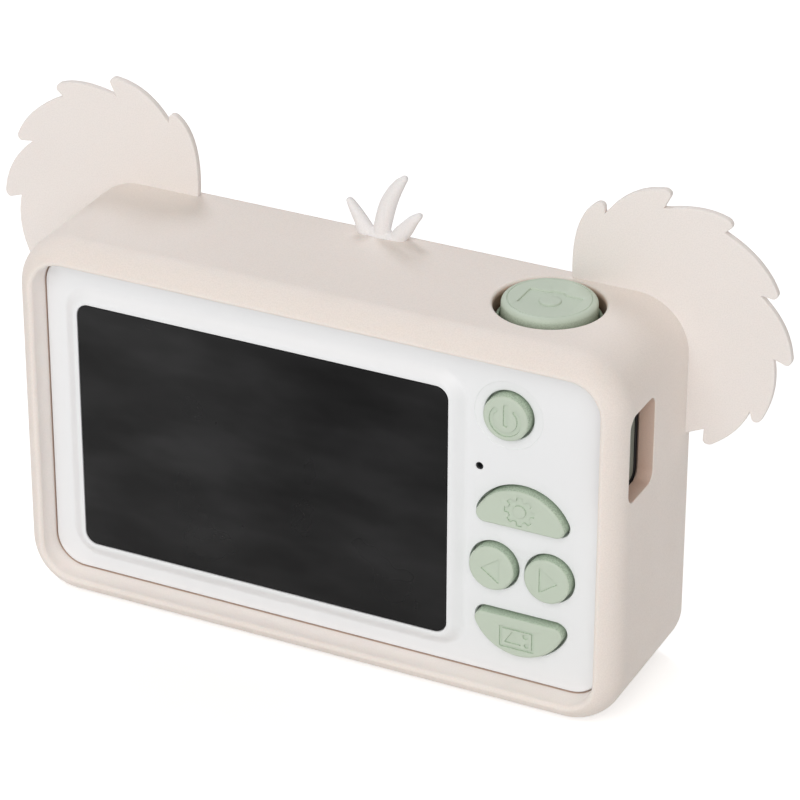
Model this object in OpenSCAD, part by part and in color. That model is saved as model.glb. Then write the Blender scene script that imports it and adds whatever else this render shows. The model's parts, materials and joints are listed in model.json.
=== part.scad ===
// Kids digital camera in a soft silicone sleeve with two flat ears and a tuft.
// Millimetres. +Z up, lens towards -Y, screen towards +Y. The origin is the middle of the flat base.
// Every sub-part is drawn about the camera's middle and raised by half the sleeve's height.

/* [Sleeve] */
// Width of the sleeve
sleeve_w = 100; // [96:1:112]
// Depth of the sleeve, front to back
sleeve_d = 27.8; // [26.8:0.2:32]
// Height of the sleeve
sleeve_h = 60.8; // [59.8:0.2:70]
// Corner radius of the sleeve, seen from the back
sleeve_corner_r = 8.5; // [7:0.1:10]
// Rounding of the sleeve's rear outer edge
sleeve_rear_r = 5; // [2:0.1:6]
// Rounding of the sleeve's front outer edge
sleeve_front_r = 1.3; // [0.5:0.1:2]
// Thickness of the sleeve's sides
sleeve_wall = 3.5; // [2.5:0.1:4]
// Thickness of the sleeve's front
sleeve_front_t = 2.5; // [1.5:0.1:3]
// How far the sleeve's rear lip stands behind the white panel
lip_depth = 4.5; // [3:0.1:5]
// Clearance between the sleeve and the camera in it
sleeve_gap = 0.15; // [0.1:0.05:0.3]

/* [Ears and tuft] */
// Thickness of the flat ears
ear_t = 1.7; // [1.2:0.1:2.4]
// How far the ears and the tuft sit behind the sleeve's front plane
ear_setback = 0.95; // [0.5:0.05:2]
// Thickness of the tuft's blades
tuft_t = 2.6; // [1.5:0.1:3.5]

/* [Side slot and ports] */
// Height of the slot in the sleeve's side
slot_l = 14.6; // [14:0.1:16]
// Width of the slot, front to back
slot_w = 9.1; // [8.6:0.1:9.4]
// Corner radius of the slot
slot_r = 1.9; // [1:0.1:2.5]
// Distance from the sleeve's rear rim to the slot
slot_rear = 3.8; // [3.6:0.1:4.2]
// Height of the slot's middle above the camera's middle
slot_z = 14.1; // [12:0.1:14.3]
// Clearance between the port cover and the slot
cover_gap = 0.45; // [0.3:0.05:0.6]
// Thickness of the port cover's outer plate
cover_t = 0.8; // [0.6:0.1:1.2]
// How far the port cover plugs into the case
plug_l = 1.2; // [0.8:0.1:1.4]
// Clearance between the plug and the opening in the case
plug_gap = 0.2; // [0.1:0.05:0.3]

/* [Case] */
// Wall of the two shells
shell_wall = 1.8; // [1.4:0.1:2]
// Depth of the rear shell, from the white panel to the seam
rear_shell_d = 3; // [2.4:0.1:3.1]
// Radius of the screw bosses
boss_r = 2.1; // [1.9:0.1:2.2]
// Clearance between the bosses and the case walls
boss_gap = 0.4; // [0.35:0.05:0.5]
// Length of the rear shell's bosses
rear_boss_l = 6; // [5:0.5:7]

/* [Screen] */
// Width of the screen window
screen_w = 61.8; // [56:0.1:62]
// Height of the screen window
screen_h = 41.3; // [38:0.1:41.5]
// Corner radius of the screen window
screen_r = 1.9; // [1:0.1:3]
// Margin between the screen window and the sleeve's lip
screen_side = 6.2; // [5.5:0.1:8]
// How far the screen sits below the middle
screen_drop = 0.8; // [0:0.1:1]
// How far the panel rises round the screen
plateau_rise = 1.2; // [0.9:0.1:1.5]
// Width of the raised border round the screen
plateau_border = 2.6; // [2:0.1:3]
// Rounding of the raised border's edge
plateau_edge_r = 0.8; // [0.4:0.1:0.9]
// Thickness of the screen window
window_t = 1; // [0.8:0.1:1.2]
// Clearance round the screen window
window_gap = 0.1; // [0.05:0.05:0.2]
// Width of the ledge that the window is glued to
window_ledge = 2.5; // [1.5:0.1:3]
// Depth of the display frame
display_d = 2.3; // [2:0.1:2.4]
// Width of the display frame's rim
display_rim = 1; // [0.6:0.1:1.4]
// Clearance between the display and the rear shell
display_gap = 0.1; // [0.05:0.05:0.2]

/* [Keys] */
// Distance from the key column's middle to the sleeve's lip
key_side = 13.2; // [13:0.1:13.6]
// How far the keys stand out of the white panel
key_rise = 1.3; // [1:0.1:1.6]
// How far each key travels
key_travel = 0.8; // [0.4:0.1:0.8]
// Clearance between a key and its hole
key_gap = 0.25; // [0.15:0.05:0.3]
// Rounding of the keys' top edges
key_edge_r = 0.6; // [0.3:0.1:0.8]
// Depth of the engraved signs
sign_d = 0.3; // [0.2:0.05:0.5]
// Radius of the power key
power_r = 3.6; // [3:0.1:3.8]
// Radius of the dish round the power key
dish_r = 5.3; // [4.6:0.1:5.5]
// Depth of that dish
dish_d = 0.9; // [0.5:0.1:1]
// Radius of the two arrow keys
arrow_r = 3.65; // [3.2:0.05:3.7]
// Distance between the arrow keys' middles
arrow_pitch = 8.9; // [8.7:0.1:9.2]
// Radius of the half-moon keys' round side
moon_r = 7.7; // [7:0.1:7.8]
// Distance from a half-moon's flat side to the middle of its round side
moon_drop = 1.3; // [1:0.1:1.6]
// Radius of the half-moon keys' corners
moon_corner_r = 1.4; // [1:0.1:1.8]
// Thickness of the flange that keeps a key in
key_flange_t = 0.8; // [0.6:0.1:0.8]
// Width of that flange
key_flange_w = 0.6; // [0.4:0.1:0.6]
// Radius of the microphone hole
mic_hole_r = 0.6; // [0.4:0.1:0.8]

/* [Shutter] */
// Distance from the shutter's middle to the sleeve's side
shutter_side = 18.3; // [18.2:0.1:20]
// Distance from the sleeve's rear rim to the shutter's middle
shutter_rear = 16.1; // [16:0.1:16.6]
// Radius of the shutter button
shutter_r = 7.2; // [6.6:0.1:7.3]
// How far the shutter button stands above the sleeve
shutter_rise = 0.5; // [0.2:0.1:2]
// How far the shutter button travels
shutter_travel = 1.2; // [0.6:0.1:1.2]
// Rounding of the shutter button's top edge
shutter_edge_r = 1; // [0.5:0.1:1.4]
// Clearance round the shutter button
shutter_gap = 0.2; // [0.15:0.05:0.3]
// Width of the collar round the shutter button
collar_w = 0.8; // [0.6:0.1:0.9]
// Height of that collar above the case
collar_h = 1.45; // [1:0.05:2.5]
// Clearance between the collar and the sleeve
collar_gap = 0.2; // [0.1:0.05:0.3]
// Thickness of the flange that keeps the shutter button in
shutter_flange_t = 1; // [0.8:0.1:1.2]
// Width of that flange
shutter_flange_w = 0.6; // [0.4:0.1:0.7]

/* [Lens and flash] */
// Radius of the ring round the lens
lens_ring_r = 15; // [13:0.1:16]
// How far the lens ring stands out of the sleeve
lens_rise = 1.5; // [0.5:0.1:3]
// Radius of the clear window over the lens
lens_window_r = 9.3; // [8.5:0.1:10]
// Thickness of that window
lens_window_t = 1.2; // [0.8:0.1:1.5]
// Width of the ledge that the window is glued to
lens_ledge = 1.4; // [1:0.1:1.6]
// Radius of the lens barrel
barrel_r = 7.3; // [6.5:0.1:7.4]
// Clearance of the round pieces in their holes on the front
front_gap = 0.2; // [0.1:0.05:0.3]
// Radius of the flash window
flash_r = 2.5; // [2:0.1:3]
// Distance from the flash to the lens, across
flash_across = 19; // [18.8:0.1:21]
// Distance from the flash to the lens, upwards
flash_up = 12; // [10:0.1:13]

/* [Boards and battery] */
// Thickness of the main board
board_t = 1.2; // [0.8:0.1:1.2]
// Distance from the rear shell's inner face to the main board
board_drop = 3.2; // [3.2:0.1:3.6]
// Clearance between the main board and the case walls
board_gap = 0.35; // [0.2:0.05:0.5]
// Radius of the posts that the main board is screwed to
post_r = 1.5; // [1.3:0.1:1.6]
// Width of the battery
battery_w = 29; // [24:1:29]
// Height of the battery
battery_h = 39; // [30:1:39]
// Depth of the battery
battery_d = 5.5; // [4:0.5:8]
// Thickness of the foam tape under the battery
tape_t = 0.8; // [0.5:0.1:1]
// Radius of the speaker
speaker_r = 9; // [7:0.5:9]
// Depth of the speaker
speaker_d = 3.6; // [2.5:0.1:5]

/* [Fasteners] */
// Radius of the screws' shanks
screw_r = 0.9; // [0.7:0.05:1]
// Radius of the screws' heads
screw_head_r = 1.7; // [1.4:0.1:1.8]
// Height of the screws' heads
screw_head_h = 0.9; // [0.6:0.1:1]
// Clearance round a screw's shank
screw_gap = 0.08; // [0.05:0.01:0.1]

/* [Hidden] */
$fn = 48;
eps = 0.01;
over = 5;                   // how far a cut runs past the face that it opens
screw_sink = 0.3;           // how far the case screws' heads lie under the surface
screw_end_gap = 0.5;        // what is left between a screw's point and the end of its hole

// Planes along Y, from the front to the back
front_y = -sleeve_d / 2;
rear_y = sleeve_d / 2;
panel_y = rear_y - lip_depth;
case_front_y = front_y + sleeve_front_t + sleeve_gap;
inner_front_y = case_front_y + shell_wall;
inner_rear_y = panel_y - shell_wall;
seam_y = panel_y - rear_shell_d;
board_rear_y = inner_rear_y - board_drop;
board_front_y = board_rear_y - board_t;
boss_end_y = inner_rear_y - rear_boss_l;
case_seat_y = case_front_y + screw_head_h + screw_sink;     // where the case screws' heads sit
ear_front_y = front_y + ear_setback;

// The case, seen from the back
case_w = sleeve_w - 2 * (sleeve_wall + sleeve_gap);
case_h = sleeve_h - 2 * (sleeve_wall + sleeve_gap);
case_r = sleeve_corner_r - sleeve_wall - sleeve_gap;
inner_w = case_w - 2 * shell_wall;
inner_h = case_h - 2 * shell_wall;
inner_r = case_r - shell_wall;
lip_x = sleeve_w / 2 - sleeve_wall;
boss_x = inner_w / 2 - boss_gap - boss_r;
boss_z = inner_h / 2 - boss_gap - boss_r;

// The screen and the display behind it
screen_x = lip_x - screen_side - screen_w / 2;
screen_z = -screen_drop;
plateau_y = panel_y + plateau_rise;
window_sink = 0.1;          // how far the window's face lies below the raised border
window_back_y = plateau_y - window_sink - window_t;
display_y = inner_rear_y - display_gap;
display_back_y = display_y - display_d;
display_overlap = 2;        // how far the display reaches under the ledge
display_w = screen_w - 2 * window_ledge + 2 * display_overlap;
display_h = screen_h - 2 * window_ledge + 2 * display_overlap;
lcd_t = 1.4;
lcd_gap = 0.1;

// The keys
key_top_y = panel_y + key_rise;
key_flange_gap = 0.1;
key_flange_y = inner_rear_y - key_flange_gap;
key_back_y = key_flange_y - key_flange_t;
column_x = -(lip_x - key_side);
power_at = [column_x + 2.55, 17.2];
mic_at = [column_x + 7.1, 7.8];
arrow_z = -8.2;
left_at = [column_x + arrow_pitch / 2, arrow_z];
right_at = [column_x - arrow_pitch / 2, arrow_z];
moon_flat = 7.6;            // distance from the arrow keys' line to each half-moon's flat side
settings_at = [column_x, arrow_z + moon_flat];
gallery_at = [column_x, arrow_z - moon_flat];
moon_switch = 2.9;          // distance from a half-moon's flat side to its switch
switch_gap = 0.1;           // what is left between a pressed key and its switch
switch_w = 4.5;
switch_places = [
    power_at, left_at, right_at, settings_at + [0, moon_switch], gallery_at - [0, moon_switch]
];
switch_base_h = 0.8;
sign_line = 0.4;            // width of the engraved lines

// The shutter, standing on Z
shutter_at = [-(sleeve_w / 2 - shutter_side), rear_y - shutter_rear];
case_top = case_h / 2;
inner_top = inner_h / 2;
shutter_top = sleeve_h / 2 + shutter_rise;
shutter_flange_gap = 0.1;
shutter_flange_top = inner_top - shutter_flange_gap;
shutter_bottom = shutter_flange_top - shutter_flange_t;
shutter_hole_r = shutter_r + shutter_gap;
collar_r = shutter_hole_r + collar_w;
shutter_switch_top = shutter_bottom - shutter_travel - switch_gap;
shutter_switch_h = 4;
shutter_board_t = 1;
shutter_board_z = shutter_switch_top - shutter_switch_h - shutter_board_t;
shutter_board_size = [12, 7.4];
shutter_switch_w = 6;
shelf_t = 1.2;
shelf_d = 6;                // how far the shelf under the shutter's board reaches back
case_bite = 0.5;            // how far the shutter's hole starts below the case's inner top
shutter_wall = 1.5;         // wall of the hollow shutter button
shutter_skin = 1.8;         // thickness of its top
shutter_stem_r = 2;         // the stem that presses the switch

// The ports
slot_y = rear_y - slot_rear - slot_w / 2;
cover_rear_y = panel_y - sleeve_gap;
cover_front_y = slot_y - slot_w / 2 + cover_gap;
cover_l = slot_l - 2 * cover_gap;
port_l = 12.2;
socket_front_d = 1.7;       // how far the opening reaches in front of the main board
port_front_y = board_front_y - socket_front_d;
socket_mouth_x = -case_w / 2 + plug_l + 0.15;
socket_wall = 0.3;
card_slot_d = 0.85;         // width of the gap that the card slides into
tongue_d = 0.7;             // thickness of the charging socket's tongue
finger_dimple_r = 0.9;
finger_dimple_d = 0.4;
slot_bite = 1;              // how far the slot's cut runs past the sleeve's inner wall
usb_size = [7.4, 3.1, 8.9];   // length, depth, height
usb_r = 1.2;
socket_back_t = 1;          // wall at the blind end of both sockets
card_size = [12, 1.45, 11.8];

// The lens, the flash, the speaker and the battery
ring_front_y = front_y - lens_rise;
ring_edge_r = 1.2;          // rounding of the lens ring, and how far the window lies behind its face
lens_window_y = ring_front_y + ring_edge_r;
barrel_hole_r = barrel_r + front_gap;
barrel_front_y = case_front_y - 0.5;
barrel_back_y = inner_front_y + 5;
barrel_flange_t = 1.2;
barrel_flange_w = 1.2;
barrel_bore_r = 4.6;
lens_post_z = barrel_hole_r + 3;    // the two posts stand above and below the lens, clear of the battery
lens_post_r = 2;
sensor_board_t = 1;
image_sensor_size = [6, 5, 0.8];   // width, height, depth
sensor_y = barrel_back_y + barrel_flange_t;
sensor_board_back_y = sensor_y + sensor_board_t;
flash_at = [-flash_across, flash_up];
flash_flange_t = 0.6;
flash_flange_w = 0.8;
flash_led_t = 0.6;
flash_led_w = 3;
flash_sink = 0.6;           // how far the flash window lies behind the sleeve's front
flash_board_t = 0.8;
flash_board_size = [11.4, 6];
flash_post_r = 1;
flash_post_x = flash_r + flash_flange_w + 0.3 + flash_post_r;
flash_board_y = inner_front_y + flash_flange_t + flash_led_t + 0.1;
speaker_at = [-27, -11];
speaker_lug = [5, -3];       // where the wires leave the speaker, from its middle
speaker_rib_t = 1;
speaker_rib_h = 2;
speaker_hole_r = 0.8;
sleeve_hole_more = 0.2;     // how much wider the grille's holes are in the sleeve
speaker_rim = 1;            // rim round the speaker's cone
speaker_cone_d = 0.8;
battery_side = 1.5;         // distance from the battery to the case's side
battery_r = 2;
tape_margin = 8;
battery_x = inner_w / 2 - battery_side - battery_w / 2;
battery_front_y = inner_front_y + tape_t;
battery_back_y = battery_front_y + battery_d;

// Depths of the steps in the lens barrel's bore, from its front face
front_seat = 2.8;
stop_t = 0.5;
rear_seat = 2;
front_lens_r = 5;
rear_lens_r = 3.8;
stop_r = 2.6;
lens_curve_r = 13;
lens_play = 0.05;           // clearance round each lens in its seat
lens_set_back = 0.3;        // how far the front lens lies behind the barrel's face

// The main board
board_x = inner_w / 2 - board_gap;
board_z = inner_h / 2 - board_gap;
post_x = [-18.5, 34];
post_z = inner_h / 2 - 0.25 - post_r;
processor_at = [0, 8];
processor_size = [12, 12, 1.2];   // width, height, depth
memory_at = [-14, 5];
memory_size = [6, 8, 1];
mic_size = [2, 1.4];        // radius and depth of the microphone
board_clear = 1;            // how far the main board's notches stay clear of what passes through them
flex_w = 16;
flex_t = 0.2;
camera_flex_w = 8;
connector_size = [2, 1.1, 3];     // wider than its flex, depth, height
plug_size = [5, 2.4, 4];
wire_r = 0.45;
wire_step = 0.6;            // half the distance between the two wires of a pair
display_plug_z = -17;
camera_plug_z = -13.4;
battery_plug_at = [24, 12];
speaker_plug_at = [-14, -20.5];
shutter_plug_at = [-16, 12.5];
wire_y = board_front_y - plug_size[1] / 2;

// The ear's outline, measured from the sleeve's top corner. For each lock of fur: the notch that it
// starts from, its tip, and how far its edge bulges, as a share of its length
ear_locks = [
    [[-18.8, 0], [-14.4, 13.2], 0.12],
    [[-13.8, 10.8], [-3.5, 16.8], 0.23],
    [[-5.5, 13.1], [6.1, 14.4], 0.14],
    [[4, 11.9], [13.3, 5.4], 0.14],
    [[10.2, 3.6], [16, -4.8], 0.12],
    [[12.9, -5.9], [10.8, -17.2], 0.15],
    [[9.8, -15.5], [3.4, -22.4], 0.1]
];
ear_end = [[2.8, -20.2], [0, -22.2]];
ear_root = [[-12, -22.2], [-18.8, -12]];

// A blade of the tuft: foot, tip and foot, and how far each side bulges, measured from the sleeve's top
tuft_blades = [
    [[-1.2, -1], [-3.9, 10.3], [1.3, -1], -0.03, 0.15],
    [[0.4, 0.4], [5.1, 5.2], [3, -1], 0.12, -0.05],
    [[-3.2, -0.6], [-6.6, 4.7], [-0.6, 0.6], -0.05, 0.09]
];
tuft_foot = [6.6, 1.4];

// How a drawing is stood up
module raise() {
    translate([0, 0, sleeve_h / 2]) children();
}

// Extrudes a drawing of the back, x across and y up, between two planes along Y
module along_y(y0, y1) {
    translate([0, y1, 0]) rotate([90, 0, 0]) linear_extrude(y1 - y0) children();
}

// Extrudes a drawing of the side, x to the back and y up, between two planes along X
module along_x(x0, x1) {
    translate([x0, 0, 0]) rotate([90, 0, 90]) linear_extrude(x1 - x0) children();
}

// Extrudes a plan, x across and y to the back, between two heights
module along_z(z0, z1) {
    translate([0, 0, z0]) linear_extrude(z1 - z0) children();
}

// A round rod along Y at a point [x, z] of the back
module rod_y(at, r, y0, y1) {
    translate([at[0], y1, at[1]]) rotate([90, 0, 0]) cylinder(r = r, h = y1 - y0);
}

// A box between two corners
module block(low, high) {
    translate(low) cube(high - low);
}

module quarter(r) {
    intersection() {
        circle(r = r);
        square(r);
    }
}

module rounded_rect(w, h, r) {
    square([w - 2 * r, h], center = true);
    square([w, h - 2 * r], center = true);
    for (sx = [0, 1], sy = [0, 1])
        mirror([sx, 0]) mirror([0, sy]) translate([w / 2 - r, h / 2 - r]) quarter(r);
}

// Half of a section, from the middle out to reach, with its outer edges rounded
module edge_profile(reach, depth, front_r, rear_r) {
    translate([0, front_r]) square([reach, depth - front_r - rear_r]);
    if (front_r > 0) {
        square([reach - front_r, front_r]);
        translate([reach - front_r, front_r]) mirror([0, 1]) quarter(front_r);
    }
    if (rear_r > 0) {
        translate([0, depth - rear_r]) square([reach - rear_r, rear_r]);
        translate([reach - rear_r, depth - rear_r]) quarter(rear_r);
    }
}

// A slab across Y with round corners and rounded front and rear edges
module slab(w, h, r, y0, y1, front_r, rear_r) {
    depth = y1 - y0;
    for (sx = [0, 1], sz = [0, 1])
        mirror([sx, 0, 0]) mirror([0, 0, sz]) translate([0, y0, 0]) {
            rotate([90, 0, 90]) linear_extrude(w / 2 - r)
                mirror([1, -1]) edge_profile(h / 2, depth, front_r, rear_r);
            translate([w / 2 - r, 0, 0]) linear_extrude(h / 2 - r)
                edge_profile(r, depth, front_r, rear_r);
            translate([w / 2 - r, 0, h / 2 - r]) mirror([0, 0, 1]) rotate([-90, 0, 0])
                rotate_extrude(angle = 90) edge_profile(r, depth, front_r, rear_r);
        }
}

// Points on an arc
function arc(at, r, from, to, steps) = [
    for (i = [0:steps])
        let (a = from + (to - from) * i / steps) at + r * [cos(a), sin(a)]
];

// Points from p to q on an arc that bulges to the left by a share of its chord
function bulged(p, q, share, steps) =
    let (
        chord = norm(q - p),
        along = (q - p) / chord,
        left = [-along[1], along[0]],
        half = 2 * atan(2 * share),
        r = chord / 2 / sin(half)
    ) [
        for (i = [0:steps])
            let (a = half * (2 * i / steps - 1))
            (p + q) / 2 + r * sin(a) * along + r * (cos(a) - cos(half)) * left
    ];

module ear() {
    locks = [for (lock = ear_locks) each bulged(lock[0], lock[1], lock[2], 8)];
    along_y(ear_front_y, ear_front_y + ear_t)
        translate([sleeve_w / 2, sleeve_h / 2])
            polygon(concat(locks, ear_end, ear_root));
}

module tuft() {
    along_y(ear_front_y, ear_front_y + tuft_t)
        translate([0, sleeve_h / 2]) {
            for (blade = tuft_blades)
                polygon(concat(
                    bulged(blade[0], blade[1], blade[3], 8),
                    bulged(blade[1], blade[2], blade[4], 8)
                ));
            square(tuft_foot, center = true);
        }
}

// The round holes of the speaker's grille: one in the middle and a ring of six
module grille(r, y0, y1) {
    rod_y(speaker_at, r, y0, y1);
    for (a = [0:60:300])
        rod_y(speaker_at + speaker_r * 0.5 * [cos(a), sin(a)], r, y0, y1);
}

module silicone_sleeve() {
    color("antiquewhite") raise() difference() {
        union() {
            slab(sleeve_w, sleeve_h, sleeve_corner_r, front_y, rear_y, sleeve_front_r, sleeve_rear_r);
            for (side = [0, 1]) mirror([side, 0, 0]) ear();
            tuft();
        }
        along_y(front_y + sleeve_front_t, rear_y + over)
            rounded_rect(2 * lip_x, sleeve_h - 2 * sleeve_wall, sleeve_corner_r - sleeve_wall);
        along_x(-sleeve_w / 2 - over, -lip_x + slot_bite)
            translate([slot_y, slot_z]) rounded_rect(slot_w, slot_l, slot_r);
        translate([shutter_at[0], shutter_at[1], 0]) cylinder(r = collar_r + collar_gap, h = sleeve_h);
        rod_y([0, 0], lens_ring_r + front_gap, front_y - over, 0);
        rod_y(flash_at, flash_r + flash_flange_w, front_y - over, 0);
        grille(speaker_hole_r + sleeve_hole_more, front_y - over, 0);
    }
}

module on_corners(x, z) {
    for (sx = [0, 1], sz = [0, 1])
        mirror([sx, 0, 0]) mirror([0, 0, sz]) translate([x, 0, z]) children();
}

module on_posts() {
    for (x = post_x, sz = [-1, 1]) translate([x, 0, sz * post_z]) children();
}

// The opening for the ports, in the wall of both shells
module port_cut() {
    block(
        [-case_w / 2 - over, port_front_y, slot_z - port_l / 2],
        [-inner_w / 2 + eps, inner_rear_y, slot_z + port_l / 2]
    );
}

module front_shell() {
    rib_r = speaker_r + front_gap;
    rib_y = inner_front_y + speaker_rib_h;
    color("whitesmoke") raise() difference() {
        union() {
            difference() {
                along_y(case_front_y, seam_y) rounded_rect(case_w, case_h, case_r);
                along_y(inner_front_y, seam_y + over) rounded_rect(inner_w, inner_h, inner_r);
            }
            on_corners(boss_x, boss_z) rod_y([0, 0], boss_r, inner_front_y - eps, boss_end_y);
            for (side = [-1, 1])
                rod_y([0, side * lens_post_z], lens_post_r, inner_front_y - eps, barrel_back_y);
            for (side = [-1, 1])
                rod_y(flash_at + [side * flash_post_x, 0], flash_post_r, inner_front_y - eps, flash_board_y);
            difference() {
                rod_y(speaker_at, rib_r + speaker_rib_t, inner_front_y - eps, rib_y);
                rod_y(speaker_at, rib_r, inner_front_y - 2 * eps, rib_y + eps);
            }
            block(
                [shutter_at[0] - shutter_board_size[0] / 2, inner_front_y - eps, shutter_board_z - shelf_t],
                [shutter_at[0] + shutter_board_size[0] / 2, inner_front_y + shelf_d, shutter_board_z]
            );
        }
        on_corners(boss_x, boss_z) {
            rod_y([0, 0], screw_r + screw_gap, case_front_y - over, boss_end_y + over);
            rod_y([0, 0], screw_head_r + screw_gap, case_front_y - over, case_seat_y);
        }
        for (side = [-1, 1])
            rod_y([0, side * lens_post_z], screw_r + screw_gap, inner_front_y + 1, barrel_back_y + over);
        rod_y([0, 0], barrel_hole_r, case_front_y - over, inner_front_y + over);
        rod_y(flash_at, flash_r + front_gap / 2, case_front_y - over, inner_front_y + over);
        grille(speaker_hole_r, case_front_y - over, inner_front_y + eps);
        translate([shutter_at[0], shutter_at[1], inner_top - case_bite])
            cylinder(r = shutter_hole_r, h = over);
        port_cut();
    }
}

module round_key_hole(at) {
    rod_y(at, arrow_r + key_gap, inner_rear_y - over, panel_y + over);
}

// A half-moon with its flat side on the line y = 0, grown all round
function moon_points(grow) =
    let (
        corner_y = moon_drop + moon_corner_r,
        corner_x = sqrt(pow(moon_r - moon_corner_r, 2) - pow(corner_y, 2)),
        turn = atan2(corner_y, corner_x)
    ) concat(
        arc([0, -moon_drop], moon_r + grow, turn, 180 - turn, 24),
        arc([-corner_x, moon_corner_r], moon_corner_r + grow, 180 - turn, 270, 8),
        arc([corner_x, moon_corner_r], moon_corner_r + grow, -90, turn, 8)
    );

// side is 1 for a half-moon above its flat side and -1 for one below it
module moon(at, side, grow, y0, y1) {
    along_y(y0, y1) translate(at) mirror([0, side < 0 ? 1 : 0]) polygon(moon_points(grow));
}

module rear_shell() {
    color("white") raise() difference() {
        union() {
            difference() {
                along_y(seam_y, panel_y) rounded_rect(case_w, case_h, case_r);
                along_y(seam_y - over, inner_rear_y) rounded_rect(inner_w, inner_h, inner_r);
            }
            translate([screen_x, 0, screen_z])
                slab(
                    screen_w + 2 * plateau_border, screen_h + 2 * plateau_border,
                    screen_r + plateau_border, panel_y - 0.5, plateau_y, 0, plateau_edge_r
                );
            on_corners(boss_x, boss_z) rod_y([0, 0], boss_r, boss_end_y, inner_rear_y + eps);
            on_posts() rod_y([0, 0], post_r, board_rear_y, inner_rear_y + eps);
        }
        translate([screen_x, 0, screen_z]) {
            along_y(window_back_y, plateau_y + over)
                rounded_rect(screen_w + 2 * window_gap, screen_h + 2 * window_gap, screen_r + window_gap);
            along_y(inner_rear_y - over, window_back_y + eps)
                square([screen_w - 2 * window_ledge, screen_h - 2 * window_ledge], center = true);
        }
        rod_y(power_at, power_r + key_gap, inner_rear_y - over, panel_y + over);
        translate([power_at[0], panel_y - dish_d, power_at[1]]) rotate([-90, 0, 0])
            cylinder(r1 = power_r + key_gap, r2 = dish_r, h = dish_d + eps);
        round_key_hole(left_at);
        round_key_hole(right_at);
        moon(settings_at, 1, key_gap, inner_rear_y - over, panel_y + over);
        moon(gallery_at, -1, key_gap, inner_rear_y - over, panel_y + over);
        rod_y(mic_at, mic_hole_r, inner_rear_y - over, panel_y + over);
        on_corners(boss_x, boss_z) rod_y([0, 0], screw_r + screw_gap, boss_end_y - over, inner_rear_y);
        on_posts() rod_y([0, 0], screw_r + screw_gap, board_rear_y - over, inner_rear_y);
        port_cut();
    }
}

module screen_window() {
    color("black") raise() translate([screen_x, 0, screen_z])
        along_y(window_back_y, window_back_y + window_t) rounded_rect(screen_w, screen_h, screen_r);
}

module display_frame() {
    color("dimgray") raise() translate([screen_x, 0, screen_z]) difference() {
        along_y(display_back_y, display_y) square([display_w, display_h], center = true);
        along_y(display_y - lcd_t - lcd_gap, display_y + over)
            square([display_w - 2 * display_rim, display_h - 2 * display_rim], center = true);
    }
}

module lcd_panel() {
    color("darkslategray") raise() translate([screen_x, 0, screen_z])
        along_y(display_y - lcd_t - lcd_gap, display_y - lcd_gap)
            square(
                [display_w - 2 * (display_rim + lcd_gap), display_h - 2 * (display_rim + lcd_gap)],
                center = true
            );
}

module display_foam() {
    color("gray") raise() translate([screen_x, 0, screen_z])
        along_y(board_rear_y, display_back_y) square([display_w * 0.6, display_h * 0.6], center = true);
}

// A thin strip bent in steps: a drawing of the side, x to the back and y up
module ribbon(points, w) {
    rotate([90, 0, 90]) linear_extrude(w, center = true)
        for (i = [0:len(points) - 2])
            let (a = points[i], b = points[i + 1])
                translate([min(a[0], b[0]) - flex_t / 2, min(a[1], b[1]) - flex_t / 2])
                    square([abs(b[0] - a[0]) + flex_t, abs(b[1] - a[1]) + flex_t]);
}

module display_flex() {
    bottom = screen_z - display_h / 2;
    turn = bottom - 1.2;
    color("orange") raise() translate([screen_x, 0, 0])
        ribbon(
            [
                [display_y - lcd_t, bottom - flex_t / 2],
                [display_y - lcd_t, turn],
                [board_front_y - connector_size[1] / 2, turn],
                [board_front_y - connector_size[1] / 2, display_plug_z - connector_size[2] / 2 - flex_t / 2]
            ],
            flex_w
        );
}

module camera_flex() {
    color("orange") raise()
        ribbon(
            [
                [sensor_board_back_y + flex_t / 2, -4],
                [sensor_board_back_y + flex_t / 2, -8],
                [board_front_y - connector_size[1] / 2, -8],
                [board_front_y - connector_size[1] / 2, camera_plug_z + connector_size[2] / 2 + flex_t / 2]
            ],
            camera_flex_w
        );
}

module main_board() {
    color("seagreen") raise() difference() {
        along_y(board_front_y, board_rear_y) square([2 * board_x, 2 * board_z], center = true);
        on_corners(boss_x - boss_r - board_gap, boss_z - boss_r - board_gap)
            block([0, -sleeve_d, 0], [over + boss_r, sleeve_d, over + boss_r]);
        block(
            [
                shutter_at[0] - collar_r - board_clear / 2, -sleeve_d,
                shutter_bottom - shutter_travel - board_clear
            ],
            [shutter_at[0] + collar_r + board_clear / 2, sleeve_d, sleeve_h]
        );
        block(
            [screen_x - flex_w / 2 - board_clear, -sleeve_d, -sleeve_h],
            [screen_x + flex_w / 2 + board_clear, sleeve_d, screen_z - display_h / 2 - 0.6 * board_clear]
        );
        on_posts() rod_y([0, 0], screw_r + screw_gap, -sleeve_d, sleeve_d);
    }
}

module flex_connectors() {
    color("ivory") raise() {
        for (plug = [[screen_x, display_plug_z, flex_w], [0, camera_plug_z, camera_flex_w]])
            let (half_w = (plug[2] + connector_size[0]) / 2, half_h = connector_size[2] / 2)
                block(
                    [plug[0] - half_w, board_front_y - connector_size[1], plug[1] - half_h],
                    [plug[0] + half_w, board_front_y, plug[1] + half_h]
                );
    }
}

module wire_connectors() {
    color("white") raise()
        for (at = [battery_plug_at, speaker_plug_at, shutter_plug_at])
            block(
                [at[0] - plug_size[0] / 2, board_front_y - plug_size[1], at[1] - plug_size[2] / 2],
                [at[0] + plug_size[0] / 2, board_front_y, at[1] + plug_size[2] / 2]
            );
}

// A flat chip on the front of the main board
module chip(at, size) {
    along_y(board_front_y - size[2], board_front_y) translate(at) square([size[0], size[1]], center = true);
}

module processor_chip() {
    color("black") raise() chip(processor_at, processor_size);
}

module memory_chip() {
    color("black") raise() chip(memory_at, memory_size);
}

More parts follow.
